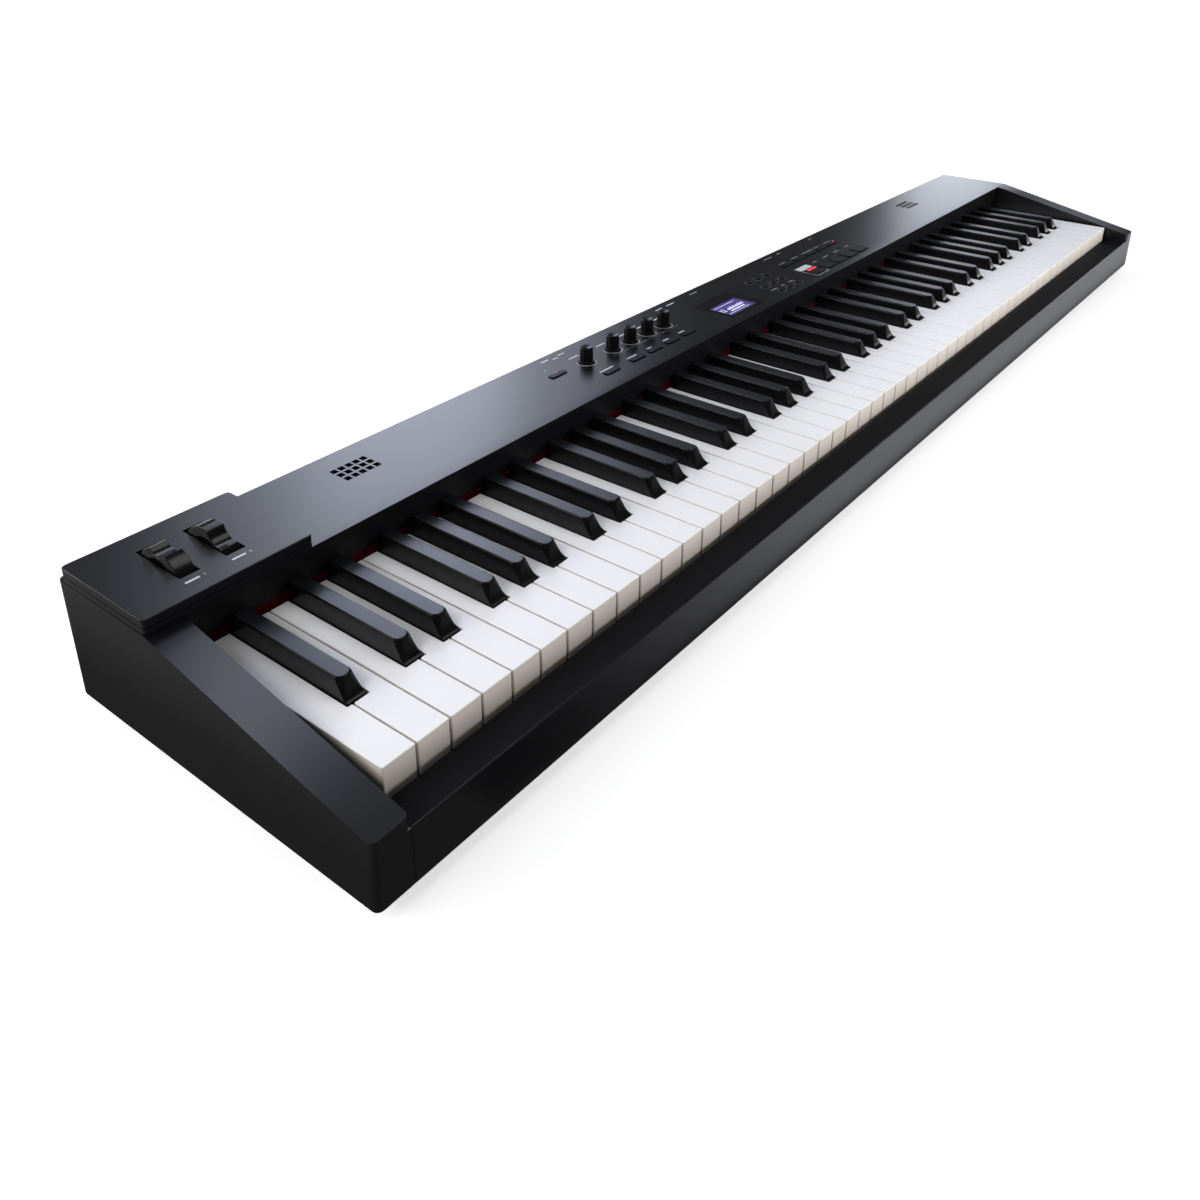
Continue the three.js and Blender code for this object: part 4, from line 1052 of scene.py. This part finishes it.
def wheel_outline(radius):
    """A wheel's rim with its finger scoop at the top, as (y, z) points round its axle"""
    half, scoop_depth, rim_steps, scoop_steps = math.radians(20), 4.7 * MM, 84, 14
    chord, floor = radius * math.sin(half), radius - scoop_depth
    sagitta = radius * math.cos(half) - floor
    scoop = (chord**2 + sagitta**2) / (2 * sagitta)
    sweep = math.asin(chord / scoop)
    points = []
    for step in range(rim_steps + 1):
        turn = half + 2 * (math.pi - half) * step / rim_steps
        points.append(Vector((math.sin(turn), math.cos(turn))) * radius)
    for step in range(1, scoop_steps):
        turn = -sweep + 2 * sweep * step / scoop_steps
        points.append(Vector((scoop * math.sin(turn), floor + scoop - scoop * math.cos(turn))))
    return points


def shrunk(outline, inset):
    """A clockwise outline moved inwards, with its corners kept"""
    points = []
    for index, corner in enumerate(outline):
        ahead = (outline[(index + 1) % len(outline)] - corner).normalized()
        back = (corner - outline[index - 1]).normalized()
        inwards = Vector((ahead.y + back.y, -ahead.x - back.x)).normalized()
        points.append(corner + inwards * inset / max(inwards.dot(Vector((ahead.y, -ahead.x))), 0.5))
    return points


def build_wheels():
    """The two wheels on their axle, between the walls of their bracket"""
    edge = bpy.context.scene.piano_controls.wheel_edge
    recess, skin = 1.2 * MM, 0.02 * MM
    for node, lean in WHEEL_LEANS.items():
        low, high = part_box(node)
        centre, half = hinge(node), (high.x - low.x) / 2 - skin
        radius = centre.z - low.z - skin
        base = [Matrix.Rotation(lean, 2) @ point for point in wheel_outline(radius)]
        sides = []
        for share, depth in ((0.13, 0.0), (0.3, 0.0), (0.33, recess), (0.7, recess), (0.73, 0.0)):
            sides.append(([point.normalized() * radius * share for point in base], depth))
        for turn in quarter_turn(3):
            sides.append((shrunk(base, edge * (1 - math.sin(turn))), edge * (1 - math.cos(turn))))
        rings = [(outline, depth - half) for outline, depth in sides]
        rings += [(outline, half - depth) for outline, depth in reversed(sides)]
        loops = []
        for outline, x in rings:
            loops.append([(centre.x + x, centre.y + p.x, centre.z + p.y) for p in outline])
        shape = bmesh.new()
        stacked(shape, loops, closed=True)
        bmesh.ops.recalc_face_normals(shape, faces=shape.faces)
        item = made(node + "_fine", shape)
        piece(settled(item), node, "wheel", [node])
    dressed("wheel_bracket", 0.3 * MM, "matte")
    dressed("wheel_axle", 0.3 * MM, "steel")


# Knobs and buttons


KNOBS = ["volume_knob"] + [f"control_knob_{number}" for number in (1, 2, 3, 4)]


def build_knobs():
    """Five ribbed knobs, each with a polished hollow top and a dark pointer in it"""
    sizes = bpy.context.scene.piano_controls
    radius, skirt = sizes.knob_radius, sizes.skirt_radius
    shaft, lift, neck, rim, dish, steps = 3 * MM, 0.3 * MM, 1.6 * MM, 0.4 * MM, 1.1 * MM, 6
    for node in KNOBS:
        low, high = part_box(node)
        centre = hinge(node)
        place = Vector((centre.x, centre.y, panel_top()))
        height = high.z - place.z
        profile = [(shaft, low.z - place.z), (shaft, lift), (skirt - 0.2 * MM, lift)]
        profile += [(skirt, lift + 0.2 * MM), (skirt, neck - 0.2 * MM), (skirt - 0.2 * MM, neck)]
        profile.append((radius + 0.3 * MM, neck))
        profile.append((radius, neck + 0.3 * MM))
        for turn in quarter_turn(steps):
            across, down = rim * (1 - math.cos(turn)), rim * (1 - math.sin(turn))
            profile.append((radius - across, height - down))
        for step in range(steps):
            share = 1 - step / steps
            profile.append(((radius - 1.2 * rim) * share, height - dish * (1 - share**2)))
        profile.append((0, height - dish))
        shape = bmesh.new()
        turned(shape, profile, 48)
        item = made(node + "_fine", shape)
        values = {
            "Count": sizes.rib_count,
            "Circle Radius": radius - 0.05 * MM,
            "Rib Radius": sizes.rib_radius,
            "Rib Height": height - neck - 1.6 * MM,
            "Foot": neck + 0.1 * MM,
            "Finish": FINISHES["knob"],
        }
        settled(grow(item, ribbed(), values))
        item.data.materials.append(FINISHES["knob_top"])
        for face in item.data.polygons:
            if face.center.z > height - 1.1 * dish and face.center.xy.length < radius - rim:
                face.material_index = 1
        item.data.transform(Matrix.Translation(place))
        piece(item, node, replaced=[node])
        pointer = bmesh.new()
        foot, rise = height - dish * 1.1, dish * 1.1 - 0.02 * MM
        box(pointer, 0, radius * 0.42, foot, 1.3 * MM, radius * 0.8, rise, 0.3 * MM)
        mark = made(node + "_pointer", pointer)
        mark.data.transform(Matrix.Translation(place) @ Matrix.Rotation(math.radians(20), 4, "Z"))
        piece(mark, node, "matte")


def build_buttons():
    """Rows of rubber caps on their strips, and the lamps that show in three of them"""
    sizes = bpy.context.scene.piano_controls
    rows = ["power_button", "mode_buttons", "grid_buttons_1", "grid_buttons_2", "grid_buttons_3"]
    for node in rows + ["tone_buttons", "scene_buttons"]:
        dressed(node, sizes.cap_edge, "button")
    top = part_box("tone_buttons")[1].z
    lamps = [
        ("power_lamp", "power_button", -0.2427, 0.0969, 3.6 * MM, 1.1 * MM),
        ("tone_lamp", "tone_buttons", 0.1345, 0.0664, 17.5 * MM, 3.0 * MM),
        ("scene_lamp", "scene_buttons", 0.24, 0.0962, 3.0 * MM, 1.6 * MM),
    ]
    for name, body, x, y, width, depth in lamps:
        shape = bmesh.new()
        outline = round_rectangle(width, depth, min(width, depth) * 0.4, 5)
        inner = round_rectangle(width * 0.94, depth * 0.8, min(width, depth) * 0.38, 5)
        rings = [(outline, -0.3 * MM), (outline, 0.1 * MM), (inner, 0.22 * MM)]
        stacked(shape, [[(x + p.x, y + p.y, top + z) for p in ring] for ring, z in rings])
        lit = "dim_lamp" if name == "power_lamp" else "lamp"
        piece(settled(made(name, shape)), body, lit)


# The display


def build_display():
    """The display's window and screen, and plain bars and figures on the screen"""
    sizes = bpy.context.scene.piano_controls
    dressed("display_window", sizes.edge / 2, "gloss")
    dressed("display_screen", 0.15 * MM, "screen")
    glass = Vector((-0.0125, 0.072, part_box("display_screen")[1].z))
    width, depth, digit = 43.9 * MM, 25.9 * MM, 6.5 * MM
    points = []

    def show(shape, x, y, wide, deep):
        """Sets a shape on the screen, at a share of its width and depth"""
        place = glass + Vector((x * width, y * depth, 0))
        points.append((place, shape, (wide, deep, sizes.film)))

    bars = ((0.03, -0.21, 0.54, 0.07), (-0.05, 0.33, 0.78, 0.025), (-0.05, -0.35, 0.78, 0.025))
    for x, y, wide, deep in bars:
        show(BAR, x, y, wide * width, deep * depth)
    for index, x in enumerate((-0.42, -0.34)):
        show(FIRST_FIGURE + index, x, -0.12, digit, digit)
    steps = 12
    for index in range(steps):
        tall = (0.1, 0.16, 0.13, 0.19, 0.12, 0.17)[index % 6]
        show(BAR, -0.2 + 0.56 * index / (steps - 1), -0.1 + tall / 2, 0.032 * width, tall * depth)
    item = on_points("screen_symbols", print_shapes(), points, "symbol", weigh=False)
    piece(item, CASE)


# Printed marks


# The places of the shapes in print_shapes
BAR, ARC, FIRST_FIGURE, RIM = 0, 1, 2, 11


def digit_mesh(text):
    """A figure one unit high, as a flat mesh one unit thick"""
    curve = bpy.data.curves.new("figure_" + text, "FONT")
    curve.body = text
    curve.size = 1.4
    curve.align_x = "CENTER"
    curve.resolution_u = 3
    curve.extrude = 0.5
    item = bpy.data.objects.new("figure_" + text, curve)
    bpy.context.scene.collection.objects.link(item)
    bpy.context.view_layer.update()
    graph = bpy.context.evaluated_depsgraph_get()
    mesh = bpy.data.meshes.new_from_object(item.evaluated_get(graph))
    bpy.data.objects.remove(item)
    mesh.transform(Matrix.Translation(UP * 0.5))
    shape = bmesh.new()
    shape.from_mesh(mesh)
    bmesh.ops.remove_doubles(shape, verts=shape.verts, dist=1e-4)
    return mesh_of("figure_" + text, shape)


def ring_mesh(name, outer, inner):
    """A flat ring between two outlines with equal numbers of points, one unit thick"""
    shape = bmesh.new()
    rings = [level(inner, 0), level(outer, 0), level(outer, 1), level(inner, 1)]
    stacked(shape, rings, closed=True)
    return mesh_of(name, shape)


def print_shapes():
    """The shapes of the printed marks: a bar, a dial's arc, figures and a button's rim"""
    if "print_shape" in bpy.data.collections:
        return bpy.data.collections["print_shape"]
    sizes = bpy.context.scene.piano_controls
    bar = bmesh.new()
    box(bar, 0, 0, 0, 1, 1, 1, 0.02, 2)
    arc = bmesh.new()
    steps, sweep = 60, math.radians(270)
    start = math.pi / 2 + (math.tau - sweep) / 2
    turns = [start + sweep * step / steps for step in range(steps + 1)]
    outer, inner = sizes.arc_radius + sizes.line / 2, sizes.arc_radius - sizes.line / 2
    rings = []
    for turn in turns:
        along = Vector((math.cos(turn), math.sin(turn), 0))
        rings.append([along * inner, along * outer, along * outer + UP, along * inner + UP])
    stacked(arc, rings)
    bmesh.ops.recalc_face_normals(arc, faces=arc.faces)
    line = sizes.line * 0.7
    rim = ring_mesh(
        "rim",
        round_rectangle(11.4 * MM, 8 * MM, 3.6 * MM, 6),
        round_rectangle(11.4 * MM - 2 * line, 8 * MM - 2 * line, 3.6 * MM - line, 6),
    )
    figures = [digit_mesh(text) for text in "123456789"]
    return shape_set("print_shape", [mesh_of("bar", bar), mesh_of("arc", arc), *figures, rim])


# Printed bars on the panel, in millimetres: left end, right end and middle
LABELS = [
    (-233.0, -223.4, 121.6),
    (-221.0, -214.3, 118.9),
    (-211.5, -203.6, 121.4),
    (-69.6, -59.7, 120.6),
    (-52.0, -40.6, 120.6),
    (-11.7, 1.0, 121.4),
    (130.8, 147.0, 121.6),
    (158.2, 166.0, 121.8),
    (231.0, 237.6, 122.0),
    (-212.2, -199.8, 108.7),
    (-175.5, -164.2, 108.3),
    (-144.8, -136.0, 107.8),
    (-120.0, -110.0, 107.2),
    (-92.4, -83.5, 107.8),
    (-218.2, -200.6, 71.2),
    (-181.2, -168.0, 71.2),
    (-152.2, -146.4, 71.2),
    (-128.5, -120.6, 71.2),
    (-104.1, -95.6, 71.2),
    (49.6, 60.2, 65.2),
    (68.2, 74.6, 65.2),
    (83.0, 92.6, 65.2),
    (157.0, 165.6, 76.9),
    (179.4, 190.6, 76.9),
    (204.4, 215.6, 76.9),
    (230.2, 240.6, 76.9),
    (128.4, 139.6, 101.0),
    (153.0, 166.6, 101.0),
    (177.6, 201.0, 101.0),
    (205.0, 214.0, 101.0),
    (227.0, 242.0, 101.0),
]


def build_prints():
    """The prints on the panel and the wheel plate: plain bars, arcs, rims, lines and figures"""
    sizes = bpy.context.scene.piano_controls
    film, line = sizes.film, sizes.line
    z = panel_top() - film / 2
    clear, faint = [], []

    def bar(points, x0, x1, y0, y1):
        place = ((x0 + x1) / 2 * MM, (y0 + y1) / 2 * MM, z)
        points.append((place, BAR, ((x1 - x0) * MM, (y1 - y0) * MM, film)))

    tall = sizes.lettering / MM
    for x0, x1, y in LABELS:
        bar(clear if x1 < 0 else faint, x0, x1, y - tall / 2, y + tall / 2)
    for node in KNOBS:
        centre = hinge(node)
        clear.append(((centre.x, centre.y, z), ARC, (1, 1, film)))
    figure, column_pitch = 1.9 * MM, 16.4 * MM
    number = 0
    for row, node in enumerate(("grid_buttons_1", "grid_buttons_2", "grid_buttons_3")):
        low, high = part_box(node)
        middle, y = (low.x + high.x) / 2, (low.y + high.y) / 2
        for column in (-1, 0, 1):
            x = middle + column * column_pitch
            faint.append(((x, y, z), RIM, (1, 1, film)))
            if row < 2:
                place = (x - 3.2 * MM, y + 5.6 * MM, z)
                faint.append((place, FIRST_FIGURE + number, (figure, figure, film)))
            number += 1
    # The frame round the first tone button
    thin = line / MM
    bar(clear, 121.6, 147.4, 51.8, 51.8 + thin)
    bar(clear, 121.6, 121.6 + thin, 51.8, 80.6)
    bar(clear, 147.4 - thin, 147.4, 51.8, 58.0)
    bar(clear, 123.4, 146.2, 71.4, 79.8)
    # Two faint lines in front of the knobs, and dots in front of the tone buttons
    for y in (82.6, 84.2):
        bar(faint, -183.0, -88.0, y, y + thin * 0.4)
    for x in (155.5, 180.0, 204.5, 229.0):
        bar(faint, x, x + 2.2, 49.2, 49.9)
    # The power sign
    bar(clear, -243.4, -242.9, 107.2, 108.8)
    piece(on_points("panel_print", print_shapes(), clear, "print", weigh=False), CASE)
    piece(on_points("panel_faint_print", print_shapes(), faint, "faint", weigh=False), CASE)
    plate_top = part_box("wheel_plate")[1].z - film / 2
    figure, y = 2.1 * MM, 54.5 * MM
    points = []
    for index, node in enumerate(WHEEL_LEANS):
        x = hinge(node).x
        points.append(((x - 2.5 * MM, y, plate_top), BAR, (9 * MM, 1.5 * MM, film)))
        place = (x + 5.2 * MM, y - 1.0 * MM, plate_top)
        points.append((place, FIRST_FIGURE + index, (figure, figure, film)))
    piece(on_points("wheel_plate_print", print_shapes(), points, "print", weigh=False), CASE)


# Inside and rear


def build_speakers():
    """Loudspeakers: frame, rolled surround, cone, dust cap and magnet"""
    for node in ("speaker_left", "speaker_right"):
        low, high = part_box(node)
        radius, height = (high.x - low.x) / 2, high.z - low.z
        magnet = [(0.0, -1.0), (0.53, -1.0), (0.55, -0.97), (0.55, -0.68), (0.5, -0.64)]
        basket = [(0.62, -0.5), (0.9, -0.11), (1.0, -0.1), (1.0, 0.0), (0.9, 0.0)]
        surround = [(0.9, -0.04), (0.88, -0.03), (0.84, 0.0), (0.8, -0.03), (0.78, -0.08)]
        cone = [(0.55, -0.26), (0.28, -0.46)]
        dust_cap = [(0.26, -0.42), (0.2, -0.36), (0.1, -0.33), (0.0, -0.32)]
        profile = magnet + basket + surround + cone + dust_cap
        shape = bmesh.new()
        turned(shape, [(share * radius, rise * height) for share, rise in profile], 48)
        item = made(node + "_fine", shape)
        middle = (low + high) / 2
        item.data.transform(Matrix.Translation((middle.x, middle.y, high.z)))
        piece(settled(item), CASE, "cone", [node])


def build_inside():
    """The chassis, the felt, the boards, and what is soldered and set on the boards"""
    dressed("key_chassis", 0.4 * MM, "chassis")
    dressed("stop_felt", 0.8 * MM, "grey_felt", segments=3)
    for node in ("contact_board", "panel_board", "main_board"):
        dressed(node, 0.15 * MM, "board")
    cap = bmesh.new()
    profile = [(3.0, 0), (3.0, 7.0), (2.6, 7.6), (2.2, 7.4), (0, 7.4)]
    turned(cap, [(radius * MM, z * MM) for radius, z in profile], 16)
    chip = bmesh.new()
    box(chip, 0, 0, 0, 1, 1, 1, 0.03, 2)
    shapes = shape_set("board_shape", [mesh_of("capacitor", cap), mesh_of("chip", chip)])
    low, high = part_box("main_board")
    top = low.z + 6.6 * MM
    parts = []
    for index in range(9):
        x = low.x + (0.06 + 0.1 * index) * (high.x - low.x)
        for row, kind in ((0.2, 1), (0.82, 0 if index % 3 else 1)):
            size = (6 * MM, 4 * MM, 1.4 * MM) if kind else (1, 1, 0.8)
            parts.append(((x, low.y + row * (high.y - low.y), top), kind, size))
    piece(on_points("main_board_parts", shapes, parts, "chip"), CASE)


def build_sockets():
    """The socket panel, a little back in its opening, with a ring nut round each jack socket"""
    item = dressed("jack_panel", 0.25 * MM, "matte")
    low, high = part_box("jack_panel")
    back, skin = 0.6 * MM, 0.05 * MM
    for corner in item.data.vertices:
        if corner.co.y > high.y - back / 2:
            corner.co.y -= back
    middle = (low.z + high.z) / 2
    outer, inner, chamfer = 5.6 * MM, 3.4 * MM, 0.3 * MM
    profile = [(inner, -back - skin), (inner, -skin), (outer - chamfer, -skin)]
    profile += [(outer, -back / 2), (outer, -back - skin)]
    shape = bmesh.new()
    rings = [[(p.x, y, p.y) for p in circle(radius, 32)] for radius, y in profile]
    stacked(shape, rings, closed=True)
    bmesh.ops.recalc_face_normals(shape, faces=shape.faces)
    shapes = shape_set("socket_shape", [mesh_of("socket_ring", shape)])
    jacks = (-0.38, -0.354, -0.328, -0.302, -0.237)
    points = [((x, high.y, middle), 0, UNIT) for x in jacks]
    piece(on_points("socket_rings", shapes, points, "steel"), CASE)


# The stage


BASS, PANEL_BASS, TREBLE = (-0.6, 0.07, 0.09), (-0.43, 0.07, 0.09), (0.5, 0.07, 0.09)
WHITE, COOL, PALE_BLUE = (1, 1, 1), (0.78, 0.83, 1.0), (0.85, 0.89, 1.0)

# Soft lights: name, place, target, width, depth, colour, and whether glossy finishes mirror it
LIGHTS = [
    ("overhead", (0.0, -0.4, 2.4), (0, 0, 0), 3.0, 2.2, WHITE, False),
    ("left_fill", (-1.95, 0, 1.35), (-0.5, 0, 0), 1.0, 0.8, WHITE, False),
    ("right_fill", (0.3, -0.82, 0.27), (0.35, 0, 0.05), 1.0, 0.3, WHITE, False),
    ("left_box", (0.54, 1.18, 0.83), PANEL_BASS, 0.46, 0.8, COOL, True),
    ("left_glow", (0.55, 1.2, 0.84), PANEL_BASS, 0.95, 0.85, COOL, True),
    ("right_box", (3.552, 1.155, 0.68), TREBLE, 0.44, 0.85, PALE_BLUE, True),
    ("top_box", (0.13, 1.08, 1.71), (-0.63, 0.02, 0.08), 0.6, 0.6, COOL, True),
    ("edge_box", (0.65, 0.95, 1.8), (0.1, 0, 0.08), 1.2, 0.35, COOL, True),
    ("rim_box", (-2.1, 0.93, 0.98), BASS, 0.5, 0.5, WHITE, True),
    ("rear_box", (-1.0, 1.6, 0.85), BASS, 1.3, 0.4, WHITE, True),
    ("glint_box", (0.13, -0.37, 1.46), BASS, 0.7, 0.7, WHITE, True),
    ("nose_box", (3.14, -1.27, 0.52), TREBLE, 0.7, 0.5, WHITE, True),
    ("cheek_box", (3.59, 0.44, 1.06), TREBLE, 0.5, 0.5, COOL, True),
    ("left_card", (-1.58, 0.3, 0.002), (-1.58, 0.3, 1.0), 1.8, 1.8, WHITE, True),
    ("rear_card", (0.1, 0.86, 0.002), (0.1, 0.86, 1.0), 2.2, 1.1, WHITE, True),
]


def area_light(name, power, place, target, width, depth, tone, mirrored):
    """A soft light that looks from its place at its target"""
    light = bpy.data.lights.new(name, "AREA")
    light.shape = "RECTANGLE"
    light.size, light.size_y = width, depth
    light.energy = power
    light.color = tone
    item = bpy.data.objects.new(name, light)
    item.location = place
    item.rotation_mode = "QUATERNION"
    item.rotation_quaternion = (Vector(target) - Vector(place)).to_track_quat("-Z", "Y")
    item.visible_camera = False
    item.visible_glossy = mirrored
    bpy.context.scene.collection.objects.link(item)
    return item


def glowing(material, tone, distance, limits, strengths):
    """Makes a finish shine, by a strength that changes over a distance"""
    tree, shader, _ = parts_of(material)
    glow = mapped(tree, distance, limits, strengths, interpolation_type="SMOOTHSTEP")
    shader.inputs["Emission Color"].default_value = tone
    tree.links.new(glow, shader.inputs["Emission Strength"])
    return material


def pale_floor(stage):
    """The floor's finish: it shines more far away, so that it runs evenly into the background"""
    grey = (0.55, 0.55, 0.555)
    material = finish(
        "pale_floor", grey, 0.9, grain=3, variation=0.004, bump=0.0, specular=0.0, mottle=0.5
    )
    tree, _, place = parts_of(material)
    away = wired(tree, "ShaderNodeVectorMath", [(0, place)], operation="LENGTH").outputs["Value"]
    strengths = (stage.floor_near, stage.floor_far)
    return glowing(material, (1, 1, 1, 1), away, (0.5, 1.6), strengths)


def flat_sheet(name, x0, x1, y0, y1, z):
    """A flat sheet that belongs to the stage"""
    shape = bmesh.new()
    corners = [(x0, y0, z), (x1, y0, z), (x1, y1, z), (x0, y1, z)]
    shape.faces.new([shape.verts.new(corner) for corner in corners])
    sheet = made(name, shape)
    return sheet


def lit_card(stage):
    """A bright card on the floor, seen only in the rail's face, dimmer towards the bass end"""
    card = flat_sheet("front_card", -0.55, 2.6, -1.55, -0.14, 0.002)
    material = finish("card_white", (0.0, 0.0, 0.0), 0.9, specular=0.0, bump=0.0)
    tree, _, place = parts_of(material)
    across = wired(tree, "ShaderNodeSeparateXYZ", [("Vector", place)]).outputs["X"]
    strengths = (0.0, stage.front_card)
    glowing(material, (0.93, 0.95, 1.0, 1), across, (-0.52, -0.1), strengths)
    card.data.materials.append(material)
    card.visible_camera = card.visible_diffuse = False
    card.visible_shadow = card.visible_transmission = False


def build_stage():
    """Pale floor, soft light, and the camera at the photo's angle"""
    stage = bpy.context.scene.piano_stage
    reach = 60
    floor = flat_sheet("floor", -reach, reach, -reach, reach, 0)
    floor.data.materials.append(pale_floor(stage))
    floor.visible_glossy = False
    for name, *settings in LIGHTS:
        area_light(name, getattr(stage, name), *settings)
    lit_card(stage)
    world = bpy.data.worlds.new("surround")
    world.use_nodes = True
    background = world.node_tree.nodes["Background"]
    seen = wired(world.node_tree, "ShaderNodeLightPath").outputs["Is Camera Ray"]
    strength = mapped(world.node_tree, seen, (0.0, 1.0), (stage.surround, 1.0))
    world.node_tree.links.new(strength, background.inputs["Strength"])
    background.inputs["Color"].default_value = (1, 1, 1, 1)
    bpy.context.scene.world = world
    bpy.context.scene.view_settings.view_transform = "Standard"
    aim_camera()


def aim_camera():
    """The camera fitted to the key edges and the case corners in the photo"""
    place = Vector((-0.87048, -0.43448, 0.44347))
    yaw, pitch, roll = (math.radians(angle) for angle in (52.5164, 24.2079, 0.4271))
    level_part, drop = math.cos(pitch), math.sin(pitch)
    ahead = Vector((math.sin(yaw) * level_part, math.cos(yaw) * level_part, -drop))
    right = Vector((math.cos(yaw), -math.sin(yaw), 0))
    up = right.cross(ahead)
    leaned_right = right * math.cos(roll) + up * math.sin(roll)
    leaned_up = up * math.cos(roll) - right * math.sin(roll)
    data = bpy.data.cameras.new("photo_camera")
    data.sensor_width = 36.0
    data.lens = 33.144
    data.shift_x, data.shift_y = -0.00413, -0.17205
    data.clip_start, data.clip_end = 0.01, 200.0
    camera = bpy.data.objects.new("photo_camera", data)
    bpy.context.scene.collection.objects.link(camera)
    turn = Matrix((leaned_right, leaned_up, -ahead)).transposed().to_4x4()
    camera.matrix_world = Matrix.Translation(place) @ turn
    bpy.context.scene.camera = camera


# Operators


class PianoOperator:
    """Shared by the piano's operators"""

    bl_options = {"REGISTER", "UNDO"}


class PIANO_OT_finishes(PianoOperator, bpy.types.Operator):
    """Makes the finishes of all pieces"""

    bl_idname = "piano.finishes"
    bl_label = "Finishes"

    def execute(self, context):
        make_finishes()
        return {"FINISHED"}


class PIANO_OT_case(PianoOperator, bpy.types.Operator):
    """Rounds the edges of the case, the rail, the wheel plate and the bottom plate"""

    bl_idname = "piano.case"
    bl_label = "Case"

    def execute(self, context):
        build_case()
        return {"FINISHED"}


class PIANO_OT_feet(PianoOperator, bpy.types.Operator):
    """Makes the four rubber feet"""

    bl_idname = "piano.feet"
    bl_label = "Feet"

    def execute(self, context):
        build_feet()
        return {"FINISHED"}


class PIANO_OT_screws(PianoOperator, bpy.types.Operator):
    """Sets the screws in the bottom plate"""

    bl_idname = "piano.screws"
    bl_label = "Screws"

    def execute(self, context):
        build_screws()
        return {"FINISHED"}


class PIANO_OT_fallboard(PianoOperator, bpy.types.Operator):
    """Makes the fallboard and its felt strip"""

    bl_idname = "piano.fallboard"
    bl_label = "Fallboard"

    def execute(self, context):
        build_fallboard()
        return {"FINISHED"}


class PIANO_OT_keys(PianoOperator, bpy.types.Operator):
    """Makes the 88 keys"""

    bl_idname = "piano.keys"
    bl_label = "Keys"

    def execute(self, context):
        build_keys()
        return {"FINISHED"}


class PIANO_OT_wheels(PianoOperator, bpy.types.Operator):
    """Makes the two wheels and what carries them"""

    bl_idname = "piano.wheels"
    bl_label = "Wheels"

    def execute(self, context):
        build_wheels()
        return {"FINISHED"}


class PIANO_OT_knobs(PianoOperator, bpy.types.Operator):
    """Makes the five knobs"""

    bl_idname = "piano.knobs"
    bl_label = "Knobs"

    def execute(self, context):
        build_knobs()
        return {"FINISHED"}


class PIANO_OT_buttons(PianoOperator, bpy.types.Operator):
    """Makes the rows of buttons and their lamps"""

    bl_idname = "piano.buttons"
    bl_label = "Buttons"

    def execute(self, context):
        build_buttons()
        return {"FINISHED"}


class PIANO_OT_display(PianoOperator, bpy.types.Operator):
    """Makes the display window and what its screen shows"""

    bl_idname = "piano.display"
    bl_label = "Display"

    def execute(self, context):
        build_display()
        return {"FINISHED"}


class PIANO_OT_prints(PianoOperator, bpy.types.Operator):
    """Prints the plain marks on the panel"""

    bl_idname = "piano.prints"
    bl_label = "Printed marks"

    def execute(self, context):
        build_prints()
        return {"FINISHED"}


class PIANO_OT_speakers(PianoOperator, bpy.types.Operator):
    """Makes the two loudspeakers"""

    bl_idname = "piano.speakers"
    bl_label = "Speakers"

    def execute(self, context):
        build_speakers()
        return {"FINISHED"}


class PIANO_OT_inside(PianoOperator, bpy.types.Operator):
    """Makes the chassis and the boards"""

    bl_idname = "piano.inside"
    bl_label = "Inside"

    def execute(self, context):
        build_inside()
        return {"FINISHED"}


class PIANO_OT_sockets(PianoOperator, bpy.types.Operator):
    """Makes the socket panel"""

    bl_idname = "piano.sockets"
    bl_label = "Sockets"

    def execute(self, context):
        build_sockets()
        return {"FINISHED"}


class PIANO_OT_stage(PianoOperator, bpy.types.Operator):
    """Sets up the floor, the light and the camera"""

    bl_idname = "piano.stage"
    bl_label = "Stage"

    def execute(self, context):
        build_stage()
        return {"FINISHED"}


OPERATORS = [
    PIANO_OT_finishes,
    PIANO_OT_case,
    PIANO_OT_feet,
    PIANO_OT_screws,
    PIANO_OT_fallboard,
    PIANO_OT_keys,
    PIANO_OT_wheels,
    PIANO_OT_knobs,
    PIANO_OT_buttons,
    PIANO_OT_display,
    PIANO_OT_prints,
    PIANO_OT_speakers,
    PIANO_OT_inside,
    PIANO_OT_sockets,
    PIANO_OT_stage,
]


class PIANO_PT_pieces(bpy.types.Panel):
    """Lists the piano's pieces and their sizes"""

    bl_label = "Stage piano"
    bl_idname = "PIANO_PT_pieces"
    bl_space_type = "VIEW_3D"
    bl_region_type = "UI"
    bl_category = "Piano"

    def draw(self, context):
        for item in OPERATORS:
            self.layout.operator(item.bl_idname)
        for name, group in GROUPS.items():
            column = self.layout.column()
            column.label(text=group.__doc__)
            for field in group.__annotations__:
                column.prop(getattr(context.scene, name), field)


CLASSES = [*GROUPS.values(), *OPERATORS, PIANO_PT_pieces]


def register():
    for item in CLASSES:
        bpy.utils.register_class(item)
    for name, group in GROUPS.items():
        setattr(bpy.types.Scene, name, bpy.props.PointerProperty(type=group))


def unregister():
    for name in GROUPS:
        delattr(bpy.types.Scene, name)
    for item in reversed(CLASSES):
        bpy.utils.unregister_class(item)


def main():
    register()
    for item in OPERATORS:
        getattr(bpy.ops.piano, item.bl_idname.split(".")[1])()


if __name__ == "__main__":
    main()
